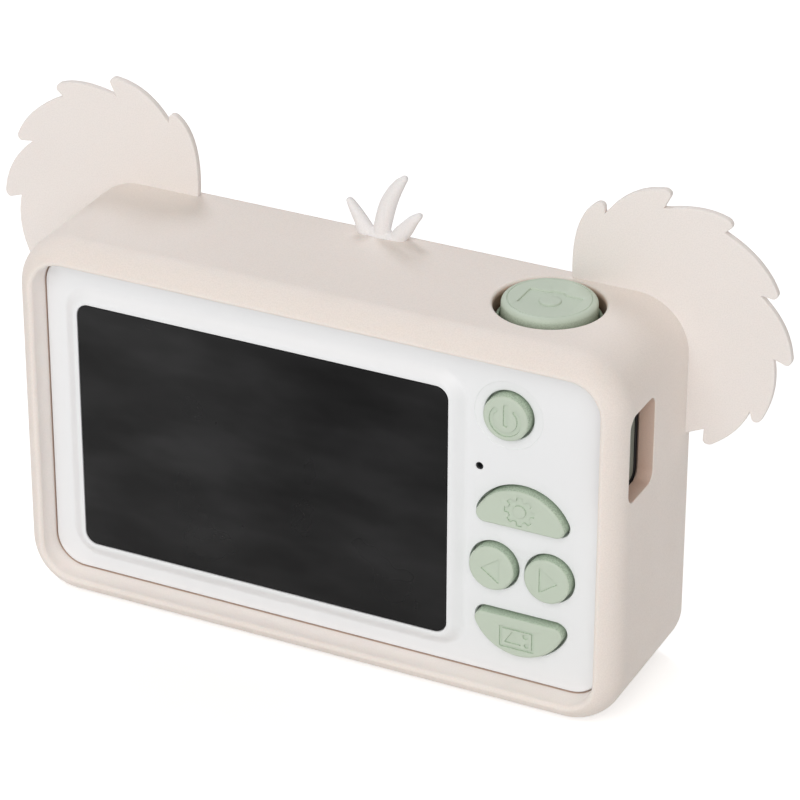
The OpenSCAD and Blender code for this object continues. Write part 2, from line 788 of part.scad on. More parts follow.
module key_switches() {
    color("silver") raise()
        for (at = switch_places) {
            along_y(board_rear_y, board_rear_y + switch_base_h)
                translate(at) square(switch_w, center = true);
            rod_y(at, switch_w / 4, board_rear_y, key_back_y - key_travel - switch_gap);
        }
}

// A sign engraved in the top of a key. The drawing is seen from the back, where +x is the viewer's right.
module engraved(at) {
    along_y(key_top_y - sign_d, key_top_y + over) translate(at) mirror([1, 0]) children();
}

module ring(r) {
    difference() {
        circle(r = r);
        circle(r = r - sign_line);
    }
}

module power_sign() {
    difference() {
        ring(2.1);
        translate([-0.8, 0]) square([1.6, 3]);
    }
    translate([-sign_line / 2, 0.3]) square([sign_line, 2.2]);
}

module arrow_sign() {
    difference() {
        circle(r = 2.4, $fn = 3);
        circle(r = 2.4 - 2 * sign_line, $fn = 3);
    }
}

module gear_sign() {
    difference() {
        union() {
            circle(r = 1.7);
            for (a = [0:45:315]) rotate(a) translate([1.5, -0.35]) square([0.75, 0.7]);
        }
        circle(r = 0.9);
    }
}

module frame_sign(w, h) {
    difference() {
        square([w, h], center = true);
        square([w - 2 * sign_line, h - 2 * sign_line], center = true);
    }
}

module picture_sign() {
    frame_sign(5.5, 3.7);
    translate([-0.9, -0.35]) rotate(30) circle(r = 0.9, $fn = 3);
    translate([1.5, 0.9]) circle(r = 0.4);
    translate([1.6, -0.8]) circle(r = 0.3);
}

module camera_sign() {
    frame_sign(8.2, 5.4);
    translate([-2, 2.7]) square([1.6, 1.2], center = true);
    ring(1.6);
}

module round_key(at, r) {
    translate([at[0], key_back_y, at[1]]) rotate([-90, 0, 0])
        rotate_extrude() edge_profile(r, key_top_y - key_back_y, 0, key_edge_r);
    rod_y(at, r + key_flange_w, key_back_y, key_flange_y);
}

module moon_key(at, side) {
    moon(at, side, 0, key_back_y, key_top_y - key_edge_r / 2);
    moon(at, side, -key_edge_r / 2, key_back_y, key_top_y);
    moon(at, side, key_flange_w, key_back_y, key_flange_y);
}

module power_key() {
    color("darkseagreen") raise() difference() {
        round_key(power_at, power_r);
        engraved(power_at) power_sign();
    }
}

module settings_key() {
    color("darkseagreen") raise() difference() {
        moon_key(settings_at, 1);
        engraved(settings_at + [0, moon_switch]) gear_sign();
    }
}

module left_key() {
    color("darkseagreen") raise() difference() {
        round_key(left_at, arrow_r);
        engraved(left_at) rotate(180) arrow_sign();
    }
}

module right_key() {
    color("darkseagreen") raise() difference() {
        round_key(right_at, arrow_r);
        engraved(right_at) arrow_sign();
    }
}

module gallery_key() {
    color("darkseagreen") raise() difference() {
        moon_key(gallery_at, -1);
        engraved(gallery_at - [0, moon_switch + 0.4]) picture_sign();
    }
}

module shutter_button() {
    height = shutter_top - shutter_bottom;
    color("darkseagreen") raise() translate([shutter_at[0], shutter_at[1], shutter_bottom]) difference() {
        union() {
            rotate_extrude() edge_profile(shutter_r, height, 0, shutter_edge_r);
            intersection() {
                cylinder(r = shutter_r + shutter_flange_w, h = shutter_flange_t);
                block(
                    [-sleeve_w, inner_front_y - shutter_at[1] + 0.25, -eps],
                    [sleeve_w, sleeve_d, shutter_flange_t + eps]
                );
            }
        }
        difference() {
            translate([0, 0, -over])
                cylinder(r = shutter_r - shutter_wall, h = height - shutter_skin + over);
            translate([0, 0, -2 * over]) cylinder(r = shutter_stem_r, h = height + 2 * over);
        }
        translate([0, 0, height - sign_d])
            mirror([1, 0, 0]) linear_extrude(over) mirror([0, 1]) camera_sign();
    }
}

module shutter_collar() {
    color("darkseagreen") raise() translate([shutter_at[0], shutter_at[1], case_top]) difference() {
        cylinder(r = collar_r, h = collar_h);
        translate([0, 0, -over]) cylinder(r = shutter_hole_r, h = collar_h + 2 * over);
    }
}

module shutter_board() {
    color("seagreen") raise() along_z(shutter_board_z, shutter_board_z + shutter_board_t)
        translate(shutter_at) square(shutter_board_size, center = true);
}

module shutter_switch() {
    foot = shutter_board_z + shutter_board_t;
    color("silver") raise() translate([shutter_at[0], shutter_at[1], 0]) {
        along_z(foot, shutter_switch_top - 0.6) square(shutter_switch_w, center = true);
        along_z(foot, shutter_switch_top) circle(r = shutter_switch_w / 4);
    }
}

// A pair of thin wires side by side through the same points
module wire_pair(points, step) {
    for (side = [-1, 1], i = [0:len(points) - 2])
        hull() {
            translate(points[i] + side * step) sphere(r = wire_r, $fn = 12);
            translate(points[i + 1] + side * step) sphere(r = wire_r, $fn = 12);
        }
}

module shutter_wires() {
    x = shutter_at[0] + shutter_board_size[0] / 2 + wire_r + wire_step;
    z = shutter_board_z + shutter_board_t / 2;
    color("firebrick") raise()
        wire_pair(
            [
                [x, wire_y - 1.2, z],
                [shutter_plug_at[0], wire_y - 1.2, z],
                [shutter_plug_at[0], wire_y - 1.2, shutter_plug_at[1] + plug_size[2] / 2 + wire_r + wire_step]
            ],
            [wire_step, 0, wire_step]
        );
}

module battery_wires() {
    x = battery_plug_at[0];
    battery_y = (battery_front_y + battery_back_y) / 2;
    top = battery_h / 2 + 2;
    color("firebrick") raise()
        wire_pair(
            [
                [x, battery_y, battery_h / 2 + wire_r],
                [x, battery_y, top],
                [x, wire_y, top],
                [x, wire_y, battery_plug_at[1] + plug_size[2] / 2 + wire_r]
            ],
            [wire_step, 0, 0]
        );
}

module speaker_wires() {
    back = inner_front_y + speaker_d + wire_r;
    from = speaker_at + speaker_lug;
    color("firebrick") raise()
        wire_pair(
            [
                [from[0], back, from[1]],
                [from[0], wire_y, from[1]],
                [from[0], wire_y, speaker_plug_at[1]],
                [speaker_plug_at[0] - plug_size[0] / 2 - wire_r - wire_step, wire_y, speaker_plug_at[1]]
            ],
            [wire_step, 0, wire_step]
        );
}

module microphone() {
    color("silver") raise() rod_y(mic_at, mic_size[0], board_rear_y, board_rear_y + mic_size[1]);
}

module speaker() {
    color("dimgray") raise() difference() {
        rod_y(speaker_at, speaker_r, inner_front_y, inner_front_y + speaker_d);
        rod_y(speaker_at, speaker_r - speaker_rim, inner_front_y - over, inner_front_y + speaker_cone_d);
    }
}

module usb_socket() {
    mid_y = board_rear_y + usb_size[1] / 2;
    color("silver") raise() difference() {
        along_x(socket_mouth_x, socket_mouth_x + usb_size[0])
            translate([mid_y, slot_z]) rounded_rect(usb_size[1], usb_size[2], usb_r);
        difference() {
            along_x(socket_mouth_x - over, socket_mouth_x + usb_size[0] - socket_back_t)
                translate([mid_y, slot_z])
                    rounded_rect(
                        usb_size[1] - 2 * socket_wall, usb_size[2] - 2 * socket_wall, usb_r - socket_wall
                    );
            along_x(socket_mouth_x + 0.6, socket_mouth_x + usb_size[0])
                translate([mid_y, slot_z]) square([tongue_d, usb_size[2] - 2.2], center = true);
        }
    }
}

module card_socket() {
    mid_y = board_front_y - card_size[1] / 2;
    color("silver") raise() difference() {
        along_x(socket_mouth_x, socket_mouth_x + card_size[0])
            translate([mid_y, slot_z]) square([card_size[1], card_size[2]], center = true);
        along_x(socket_mouth_x - over, socket_mouth_x + card_size[0] - socket_back_t)
            translate([mid_y, slot_z]) square([card_slot_d, card_size[2] - 2 * socket_wall], center = true);
    }
}

module port_cover() {
    face_x = -case_w / 2 - cover_t;
    mid_y = (cover_front_y + cover_rear_y) / 2;
    plug_y = (port_front_y + inner_rear_y) / 2;
    plug_w = inner_rear_y - port_front_y - 2 * plug_gap;
    color("darkseagreen") raise() difference() {
        union() {
            along_x(face_x, -case_w / 2)
                translate([mid_y, slot_z])
                    rounded_rect(cover_rear_y - cover_front_y, cover_l, slot_r - cover_gap);
            along_x(-case_w / 2 - eps, -case_w / 2 + plug_l)
                translate([plug_y, slot_z]) rounded_rect(plug_w, port_l - 2 * plug_gap, 1);
        }
        along_x(face_x - over, face_x + finger_dimple_d)
            translate([mid_y, slot_z + cover_l / 4]) circle(r = finger_dimple_r);
    }
}

module lens_ring() {
    depth = case_front_y - ring_front_y;
    color("darkseagreen") raise() difference() {
        translate([0, ring_front_y, 0]) rotate([-90, 0, 0])
            rotate_extrude() edge_profile(lens_ring_r, depth, ring_edge_r, 0);
        rod_y([0, 0], lens_window_r + front_gap / 2, ring_front_y - over, lens_window_y + lens_window_t);
        rod_y([0, 0], lens_window_r - lens_ledge, ring_front_y - over, case_front_y + over);
    }
}

module lens_window() {
    color("lightblue", 0.4) raise()
        rod_y([0, 0], lens_window_r, lens_window_y, lens_window_y + lens_window_t);
}

module lens_barrel() {
    seat_y = barrel_front_y + front_seat;
    color("black") raise() difference() {
        union() {
            rod_y([0, 0], barrel_r, barrel_front_y, sensor_y);
            along_y(barrel_back_y, sensor_y) {
                circle(r = barrel_r + barrel_flange_w);
                rounded_rect(2 * lens_post_r, 2 * (lens_post_z + lens_post_r), lens_post_r - 0.2);
            }
        }
        rod_y([0, 0], front_lens_r + lens_play, barrel_front_y - over, seat_y);
        rod_y([0, 0], stop_r, barrel_front_y - over, sensor_y + over);
        rod_y([0, 0], rear_lens_r + lens_play, seat_y + stop_t, sensor_y + over);
        rod_y([0, 0], barrel_bore_r, seat_y + stop_t + rear_seat, sensor_y + over);
        for (side = [-1, 1])
            rod_y([0, side * lens_post_z], screw_r + screw_gap, barrel_front_y, sensor_y + over);
    }
}

// A lens with a domed front and a flat back
module dome_lens(r, y0, y1) {
    translate([0, y0, 0]) rotate([-90, 0, 0]) rotate_extrude() intersection() {
        square([r, y1 - y0]);
        translate([0, lens_curve_r]) circle(r = lens_curve_r, $fn = 180);
    }
}

module front_lens() {
    color("lightblue", 0.4) raise()
        dome_lens(front_lens_r, barrel_front_y + lens_set_back, barrel_front_y + front_seat);
}

module rear_lens() {
    seat_y = barrel_front_y + front_seat + stop_t;
    color("lightblue", 0.4) raise() dome_lens(rear_lens_r, seat_y, seat_y + rear_seat);
}

module sensor_board() {
    color("seagreen") raise() along_y(sensor_y, sensor_board_back_y)
        square(2 * (lens_post_z - screw_head_r - 0.3), center = true);
}

module image_sensor() {
    color("darkslateblue") raise() along_y(sensor_y - image_sensor_size[2], sensor_y)
        square([image_sensor_size[0], image_sensor_size[1]], center = true);
}

module flash_window() {
    color("white", 0.6) raise() {
        rod_y(flash_at, flash_r, front_y + flash_sink, inner_front_y + flash_flange_t);
        rod_y(flash_at, flash_r + flash_flange_w, inner_front_y, inner_front_y + flash_flange_t);
    }
}

module flash_board() {
    color("seagreen") raise() along_y(flash_board_y, flash_board_y + flash_board_t)
        translate(flash_at) square(flash_board_size, center = true);
}

module flash_led() {
    color("khaki") raise() along_y(flash_board_y - flash_led_t, flash_board_y)
        translate(flash_at) square(flash_led_w, center = true);
}

module battery() {
    color("slategray") raise() along_y(battery_front_y, battery_back_y)
        translate([battery_x, 0]) rounded_rect(battery_w, battery_h, battery_r);
}

module battery_tape() {
    color("lightgray") raise() along_y(inner_front_y, battery_front_y)
        translate([battery_x, 0]) square([battery_w - tape_margin, battery_h - tape_margin], center = true);
}

// A screw along Y: its head's underside at seat_y, its point at tip_y, and its head on the far side from it
module screw(seat_y, tip_y) {
    away = tip_y > seat_y ? -1 : 1;
    top_y = seat_y + away * screw_head_h;
    root_y = seat_y + away * eps;
    difference() {
        union() {
            rod_y([0, 0], screw_head_r, min(seat_y, top_y), max(seat_y, top_y));
            rod_y([0, 0], screw_r, min(root_y, tip_y), max(root_y, tip_y));
        }
        for (turn = [0, 90])
            translate([0, top_y, 0]) rotate([0, turn, 0])
                cube([screw_head_r * 1.2, screw_head_h, screw_head_r * 0.3], center = true);
    }
}

module case_screws() {
    color("silver") raise() on_corners(boss_x, boss_z)
        screw(case_seat_y, inner_rear_y - screw_end_gap);
}

module board_screws() {
    color("silver") raise() on_posts() screw(board_front_y, inner_rear_y - screw_end_gap);
}

module lens_screws() {
    color("silver") raise()
        for (side = [-1, 1]) translate([0, 0, side * lens_post_z]) screw(sensor_y, inner_front_y + 1.5);
}

silicone_sleeve();
front_shell();
rear_shell();
screen_window();
display_frame();
lcd_panel();
display_foam();
display_flex();
main_board();
processor_chip();
memory_chip();
flex_connectors();
wire_connectors();
key_switches();
power_key();
settings_key();
left_key();
right_key();
gallery_key();
shutter_button();
shutter_collar();
shutter_board();
shutter_switch();
shutter_wires();
microphone();
speaker();
speaker_wires();
usb_socket();
card_socket();
port_cover();
lens_ring();
lens_window();
lens_barrel();
front_lens();
rear_lens();
sensor_board();
image_sensor();
camera_flex();
flash_window();
flash_board();
flash_led();
battery();
battery_tape();
battery_wires();
case_screws();
board_screws();
lens_screws();
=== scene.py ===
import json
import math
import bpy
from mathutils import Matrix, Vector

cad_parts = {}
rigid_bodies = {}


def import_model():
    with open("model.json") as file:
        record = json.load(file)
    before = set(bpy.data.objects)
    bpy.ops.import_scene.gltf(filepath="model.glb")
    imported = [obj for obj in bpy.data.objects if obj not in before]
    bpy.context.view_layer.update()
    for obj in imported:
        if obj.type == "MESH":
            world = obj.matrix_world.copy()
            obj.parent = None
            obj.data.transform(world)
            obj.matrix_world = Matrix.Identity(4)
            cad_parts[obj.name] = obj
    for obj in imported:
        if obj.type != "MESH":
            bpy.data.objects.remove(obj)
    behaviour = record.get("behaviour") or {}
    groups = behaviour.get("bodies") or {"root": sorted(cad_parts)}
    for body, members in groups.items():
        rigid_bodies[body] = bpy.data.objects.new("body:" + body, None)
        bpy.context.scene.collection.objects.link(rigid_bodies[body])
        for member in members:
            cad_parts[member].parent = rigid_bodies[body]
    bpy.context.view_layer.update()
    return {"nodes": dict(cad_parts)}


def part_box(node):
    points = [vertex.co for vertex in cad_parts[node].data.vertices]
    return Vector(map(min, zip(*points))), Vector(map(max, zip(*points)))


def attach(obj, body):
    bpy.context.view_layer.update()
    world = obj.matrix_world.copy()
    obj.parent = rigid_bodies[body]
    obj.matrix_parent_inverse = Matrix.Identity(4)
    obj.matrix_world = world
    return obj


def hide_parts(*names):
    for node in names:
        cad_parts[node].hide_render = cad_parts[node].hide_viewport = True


bl_info = {
    "name": "Kids Camera Maker",
    "version": (1, 0, 0),
    "blender": (4, 5, 0),
    "location": "View3D > Sidebar > Kids Camera",
    "description": "Dresses a kids digital camera in a silicone sleeve in its finished surfaces",
    "category": "Add Mesh",
}

import bmesh
import bpy
from bpy.props import FloatProperty, FloatVectorProperty, IntProperty, PointerProperty
from mathutils import Matrix, Vector
from mathutils.bvhtree import BVHTree
from mathutils.geometry import delaunay_2d_cdt

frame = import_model()

MM = 0.001
W = H = 800
L = max(W, H)

# Edges and middles of what shows in the photograph, in pixels of its 800 x 800 frame
EDGE_POINTS = {
    "object_left_x": 6, "object_right_x": 795, "object_top_y": 76, "object_bottom_y": 717,
    "screen_left_x": 78, "screen_right_x": 446, "screen_top_y": 306, "screen_bottom_y": 631,
}
SIGN_POINTS = {
    "power_sign": (504.6, 421.4), "settings_sign": (518.9, 512.7), "left_sign": (489.4, 570.0),
    "right_sign": (547.9, 583.0), "gallery_sign": (516.2, 639.6), "shutter_sign": (550.3, 299.8),
}
OTHER_POINTS = {"microphone_hole": (480.0, 466.3), "tuft_tip": (405.5, 178.0)}


def srgb(red, green, blue):
    """A colour written in 0 to 255 as the linear numbers that Blender's sockets take."""
    def linear(value):
        value /= 255
        return value / 12.92 if value <= 0.04045 else ((value + 0.055) / 1.055) ** 2.4
    return linear(red), linear(green), linear(blue)


def length(name, description, millimetres):
    return FloatProperty(name=name, description=description, default=millimetres * MM, unit="LENGTH")


def colour(name, description, *rgb):
    return FloatVectorProperty(
        name=name, description=description, default=srgb(*rgb), subtype="COLOR", min=0, max=1)


class KidsCameraSleeve(bpy.types.PropertyGroup):
    """Sizes and colour of the silicone sleeve, its ears and its tuft"""
    width: length("Width", "Width of the sleeve without its ears", 100)
    height: length("Height", "Height of the sleeve", 60.8)
    depth: length("Depth", "Nominal depth of the sleeve", 27.8)
    corner: length("Corner radius", "Corners seen from the back", 8.5)
    wall: length("Wall", "Thickness of the sides", 3.5)
    front_wall: length("Front wall", "Thickness of the front", 2.5)
    rear_round: length("Rear rounding", "Rounding of the rear outer edge", 5)
    front_round: length("Front rounding", "Rounding of the front outer edge", 1.3)
    lip_round: length("Lip rounding", "Rounding of the lip's inner edge", 0.6)
    ear_thickness: length("Ear thickness", "Thickness of the ears", 1.15)
    ear_edge: length("Ear edge", "Rounding of the ears' edges", 0.22)
    lock_tip: length("Lock tip", "Rounding of the tips of the ears' locks", 0.8)
    # painted light: the ears' and the tuft's colours are cooler, paler copies of the sleeve's silicone
    # colour, for the neutral front light that falls on them
    ear_front_lit_tint: colour("Ear colour", "Colour of the ears' silicone", 237, 231, 227)
    tuft_front_lit_tint: colour("Tuft colour", "Colour of the tuft's silicone", 238, 236, 236)
    tint: colour("Sleeve colour", "Colour of the silicone", 237, 228, 221)


class KidsCameraPanel(bpy.types.PropertyGroup):
    """Sizes and colours of the white panel and the screen"""
    border: length("Border", "Raised border round the screen", 2.6)
    slope_out: length("Slope outwards", "How far the border's slope reaches outwards", 0.3)
    slope_in: length("Slope inwards", "How far the border's slope reaches inwards", 2.1)
    hole_edge: length("Hole edge", "Rounding of the holes' edges", 0.2)
    tint: colour("Panel colour", "Colour of the white plastic", 237, 239, 241)
    screen: colour("Screen colour", "Colour of the dark window", 19, 19, 20)


class KidsCameraKeys(bpy.types.PropertyGroup):
    """Sizes and colour of the keys, the shutter button and the port cover"""
    edge: length("Key edge", "Rounding of the keys' top edges", 0.42)
    shutter_edge: length("Shutter edge", "Rounding of the shutter button's top edge", 0.8)
    sign_depth: length("Sign depth", "Depth of the signs in the keys", 0.26)
    line: length("Line", "Width of the thin lines in the signs", 0.4)
    tint: colour("Key colour", "Colour of the keys", 195, 207, 191)


class KidsCameraFront(bpy.types.PropertyGroup):
    """Sizes of the lens ring on the front"""
    ribs: IntProperty(name="Ribs", description="Grip ribs round the lens ring", default=72, min=12)
    rib_height: length("Rib height", "How far the ribs stand out", 0.16)


class KidsCameraStage(bpy.types.PropertyGroup):
    """The camera that looks at the object, and the light on it"""
    position: FloatVectorProperty(
        name="Position", description="Where the camera stands", subtype="TRANSLATION",
        default=(-0.22805, 0.44882, 0.30715))
    aim: FloatVectorProperty(
        name="Aim", description="The point that the camera looks at", subtype="TRANSLATION",
        default=(-0.01000, 0.00259, 0.04198))
    roll: FloatProperty(
        name="Roll", description="Turn of the camera about its view", subtype="ANGLE", default=0.0026)
    lens: FloatProperty(name="Lens", description="Focal length in millimetres", default=171.09)
    sensor: FloatProperty(name="Sensor", description="Sensor width in millimetres", default=36)
    fill: FloatProperty(name="Fill light", description="Strength from behind the viewer", default=1.53)
    key: FloatProperty(name="Key light", description="Strength from beyond the object", default=0.8)
    key_tint: colour("Key light colour", "Colour of the light from beyond the object", 240, 245, 255)
    sky: FloatProperty(name="Sky light", description="Strength from all round", default=0.41)
    sky_tint: colour("Sky light colour", "Colour of the light from all round", 255, 249, 243)


# Finishes --------------------

FINISHES = {}
# the finishes of the CAD nodes that show as they are
NODE_FINISHES = {
    "shell_plastic": "front_shell",
    "screen_black": "screen_window",
    "dark_plastic": "display_frame lens_barrel speaker",
    "lcd_glass": "lcd_panel image_sensor",
    "foam": "display_foam battery_tape",
    "flex_film": "display_flex camera_flex",
    "circuit_board": "main_board shutter_board sensor_board flash_board",
    "chip_black": "processor_chip memory_chip",
    "connector_plastic": "flex_connectors wire_connectors",
    "plated_metal": "key_switches shutter_switch microphone usb_socket card_socket",
    "wire_rubber": "shutter_wires speaker_wires battery_wires",
    "clear_glass": "lens_window front_lens rear_lens",
    "frosted_plastic": "flash_window",
    "led_yellow": "flash_led",
    "battery_foil": "battery",
    "screw_steel": "case_screws board_screws lens_screws",
}
BAND = 0.314           # the width of one band of a wave texture whose scale is 1


def shade(rgb, factor):
    return tuple(min(1.0, value * factor) for value in rgb)


class Graph:
    """A node tree while it is put together."""

    def __init__(self, tree):
        self.tree = tree

    def feed(self, socket, value):
        if isinstance(value, bpy.types.NodeSocket):
            self.tree.links.new(value, socket)
        else:
            socket.default_value = value

    def add(self, kind, settings=None, *values, **named):
        """Adds a node. Its inputs are given in their order, or by name with _ for a space."""
        node = self.tree.nodes.new(kind)
        for key, value in (settings or {}).items():
            setattr(node, key, value)
        for socket, value in zip(node.inputs, values):
            self.feed(socket, value)
        for name, value in named.items():
            self.feed(node.inputs[name.replace("_", " ")], value)
        return node

    def calc(self, operation, *values):
        return self.add("ShaderNodeMath", {"operation": operation}, *values).outputs[0]


class Finish(Graph):
    """A procedural material while it is put together. All patterns lie in object coordinates."""

    def __init__(self, name, base, roughness, **sockets):
        self.material = FINISHES[name] = bpy.data.materials.new(name)
        self.material.use_nodes = True
        super().__init__(self.material.node_tree)
        self.shader = self.tree.nodes["Principled BSDF"]
        self.put(Base_Color=(*base, 1), Roughness=roughness, **sockets)
        self.place = self.add("ShaderNodeTexCoord").outputs["Object"]
        self.normal = None
        self.patterns = {}

    def put(self, **sockets):
        """Sets or links the shader's inputs, with _ for a space in their names."""
        for name, value in sockets.items():
            self.feed(self.shader.inputs[name.replace("_", " ")], value)

    def mapped(self, scale, location=(0, 0, 0)):
        return self.add("ShaderNodeMapping", Vector=self.place, Scale=scale, Location=location).outputs[0]

    def around(self, place, reach):
        """1 at a place in millimetres, falling to 0 at a distance of reach."""
        vector = self.mapped([1 / (reach * MM)] * 3, [-value / reach for value in place])
        return self.add("ShaderNodeTexGradient", {"gradient_type": "SPHERICAL"}, vector).outputs["Fac"]

    def noise(self, grain, detail, vector=None):
        """Noise whose lumps are about grain millimetres across."""
        return self.add("ShaderNodeTexNoise", Vector=vector or self.place, Scale=1 / (grain * MM),
                        Detail=detail).outputs["Fac"]

    def brushed(self, stretch):
        return self.noise(0.9, 3, self.mapped(stretch))

    def cells(self, size):
        return self.add("ShaderNodeTexVoronoi", Vector=self.place, Scale=1 / (size * MM)).outputs["Distance"]

    def bands(self, pitch, direction="X", distortion=0.0):
        return self.add("ShaderNodeTexWave", {"bands_direction": direction}, Vector=self.place,
                        Scale=BAND / (pitch * MM), Distortion=distortion).outputs["Fac"]

    def pattern(self, kind, *sizes):
        """A pattern by the name of its method. The same pattern is made only once."""
        if (kind, sizes) not in self.patterns:
            self.patterns[kind, sizes] = getattr(self, kind)(*sizes)
        return self.patterns[kind, sizes]

    def marked(self, name):
        """The value from 0 to 1 that mark() has stored in the mesh."""
        return self.add("ShaderNodeAttribute", {"attribute_name": name}).outputs["Fac"]

    def ramp(self, source, *stops, tint=(1, 1, 1)):
        """A ramp whose stops are colours, or factors of the tint."""
        node = self.add("ShaderNodeValToRGB", None, source)
        elements = node.color_ramp.elements
        while len(elements) < len(stops):
            elements.new(0.5)
        for element, (position, value) in zip(elements, stops):
            rgb = value if isinstance(value, tuple) else shade(tint, value)
            element.position, element.color = position, (*rgb, 1)
        return node.outputs["Color"]

    def blend(self, factor, first, second, kind="MIX"):
        node = self.add("ShaderNodeMix", {"data_type": "RGBA", "blend_type": kind}, factor)
        colours = [socket for socket in node.inputs if socket.type == "RGBA"]
        self.feed(colours[0], first)
        self.feed(colours[1], second)
        return next(socket for socket in node.outputs if socket.type == "RGBA")

    def polish(self, source, low, high):
        self.put(Roughness=self.ramp(source, (0.3, low), (0.7, high)))

    def emboss(self, source, strength, depth):
        """Adds relief that is depth millimetres high."""
        node = self.add("ShaderNodeBump", Height=source, Strength=strength, Distance=depth * MM)
        if self.normal:
            self.feed(node.inputs["Normal"], self.normal)
        self.normal = node.outputs["Normal"]
        self.put(Normal=self.normal)


def silicone_finish(name, tint, grain=0.16, soft=0.12):
    f = Finish(name, tint, 0.6, Subsurface_Weight=soft, Subsurface_Scale=0.0015,
               Subsurface_Radius=(1.0, 0.6, 0.45), Sheen_Weight=0.12)
    speck = f.noise(grain * 1.3, 1)
    skin = f.blend(f.noise(26, 3), f.ramp(speck, (0.35, 0.95), (0.6, 1), tint=tint),
                   f.ramp(speck, (0.3, 0.975), (0.65, 1.03), tint=tint))
    # painted light: the lip's inner wall is painted a paler tint, for the light that comes through the thin
    # lip and bounces off the white panel
    paler = tuple(1 - (1 - value) * share for value, share in zip(tint, (0.12, 0.4, 0.48)))
    skin = f.blend(f.marked("pale"), skin, f.ramp(speck, (0.35, 0.97), (0.6, 1), tint=paler))
    # painted shade: the deep mark darkens the silicone towards brown-black in the slot, the shutter's hole,
    # the front holes and the lip's foot
    hollow = f.ramp(f.marked("deep"), (0, 1.0), (0.38, (0.85, 0.68, 0.6)), (1, (0.19, 0.1, 0.03)))
    f.put(Base_Color=f.blend(1.0, skin, hollow, "MULTIPLY"))
    f.polish(f.noise(5, 3), 0.54, 0.68)
    f.emboss(f.noise(grain, 2), 0.6, 0.03)
    f.emboss(f.noise(4, 2), 0.12, 0.05)


def key_finish(tint):
    """Matt plastic whose sides are grainier than its face, and painted darker and greener as shade."""
    f = Finish("key_plastic", tint, 0.5)
    face = f.ramp(f.noise(14, 3), (0.3, 0.97), (0.7, 1.015), tint=tint)
    green = (tint[0] * 0.93, tint[1], tint[2] * 0.93)
    side = f.ramp(f.noise(0.2, 2), (0.36, 0.7), (0.58, 1), tint=green)
    # painted shade: where the deep mark is set, the sides take the darker, greener copy of the tint
    f.put(Base_Color=f.blend(f.marked("deep"), face, side))
    f.polish(f.noise(3, 2), 0.45, 0.57)
    f.emboss(f.noise(0.14, 2), 0.35, 0.02)


def screen_finish(tint):
    """Smoky black whose sheen is weaker in the shade of the sleeve's lip and where it is smudged."""
    f = Finish("screen_black", tint, 0.3)
    smoke = f.noise(13, 3, f.mapped((0.55, 1, 1.4)))
    shadow = f.ramp(f.around((-6, 10.5, 42), 42), (0, 0.25), (0.3, 0.23), (0.9, 0.115))
    smudge = f.ramp(smoke, (0.36, 0.7), (0.62, 1.0))
    f.put(Specular_IOR_Level=f.blend(1.0, shadow, smudge, "MULTIPLY"),
          Base_Color=f.ramp(smoke, (0.34, 0.5), (0.52, 1), (0.72, 2), tint=tint))
    f.polish(f.noise(16, 3), 0.26, 0.38)
    f.emboss(f.noise(30, 1), 0.05, 0.02)


def board_finish():
    """Green board with winding traces and gold pads."""
    green = srgb(32, 92, 62)
    f = Finish("circuit_board", green, 0.42)
    traces = f.bands(0.9, "DIAGONAL", 9)
    pads = f.ramp(f.cells(2.4), (0.16, 1.0), (0.2, 0.0))
    body = f.ramp(traces, (0.42, 1), (0.5, 1.45), (0.58, 1), tint=green)
    gold = f.ramp(f.noise(1, 1), (0.3, srgb(196, 160, 84)), (0.7, srgb(214, 180, 104)))
    f.put(Base_Color=f.blend(pads, body, gold))
    f.emboss(traces, 0.3, 0.03)


def plain_finish(name, tint, roughness, tone, polish=None, relief=None, **sockets):
    """A finish that follows simple patterns. Each comes before what it drives: the stops of the
    tone, the lowest and highest roughness, and the strength and depth of the relief."""
    f = Finish(name, tint, roughness, **sockets)
    f.put(Base_Color=f.ramp(f.pattern(*tone[0]), *tone[1:], tint=tint))
    if polish:
        f.polish(f.pattern(*polish[0]), *polish[1:])
    if relief:
        f.emboss(f.pattern(*relief[0]), *relief[1:])


def plastic_finish(name, tint, roughness, grain, relief, spread):
    plain_finish(name, tint, roughness, (("noise", 14, 3), (0.3, 1 - spread), (0.7, 1 + spread / 2)),
                 (("noise", 3, 2), roughness - 0.05, roughness + 0.07), (("noise", grain, 2), relief, 0.02))


def metal_finish(name, tint, roughness, stretch):
    brushed = ("brushed", stretch)
    plain_finish(name, tint, roughness, (brushed, (0.3, 0.86), (0.7, 1)),
                 (brushed, roughness - 0.06, roughness + 0.1), (brushed, 0.15, 0.01), Metallic=1.0)


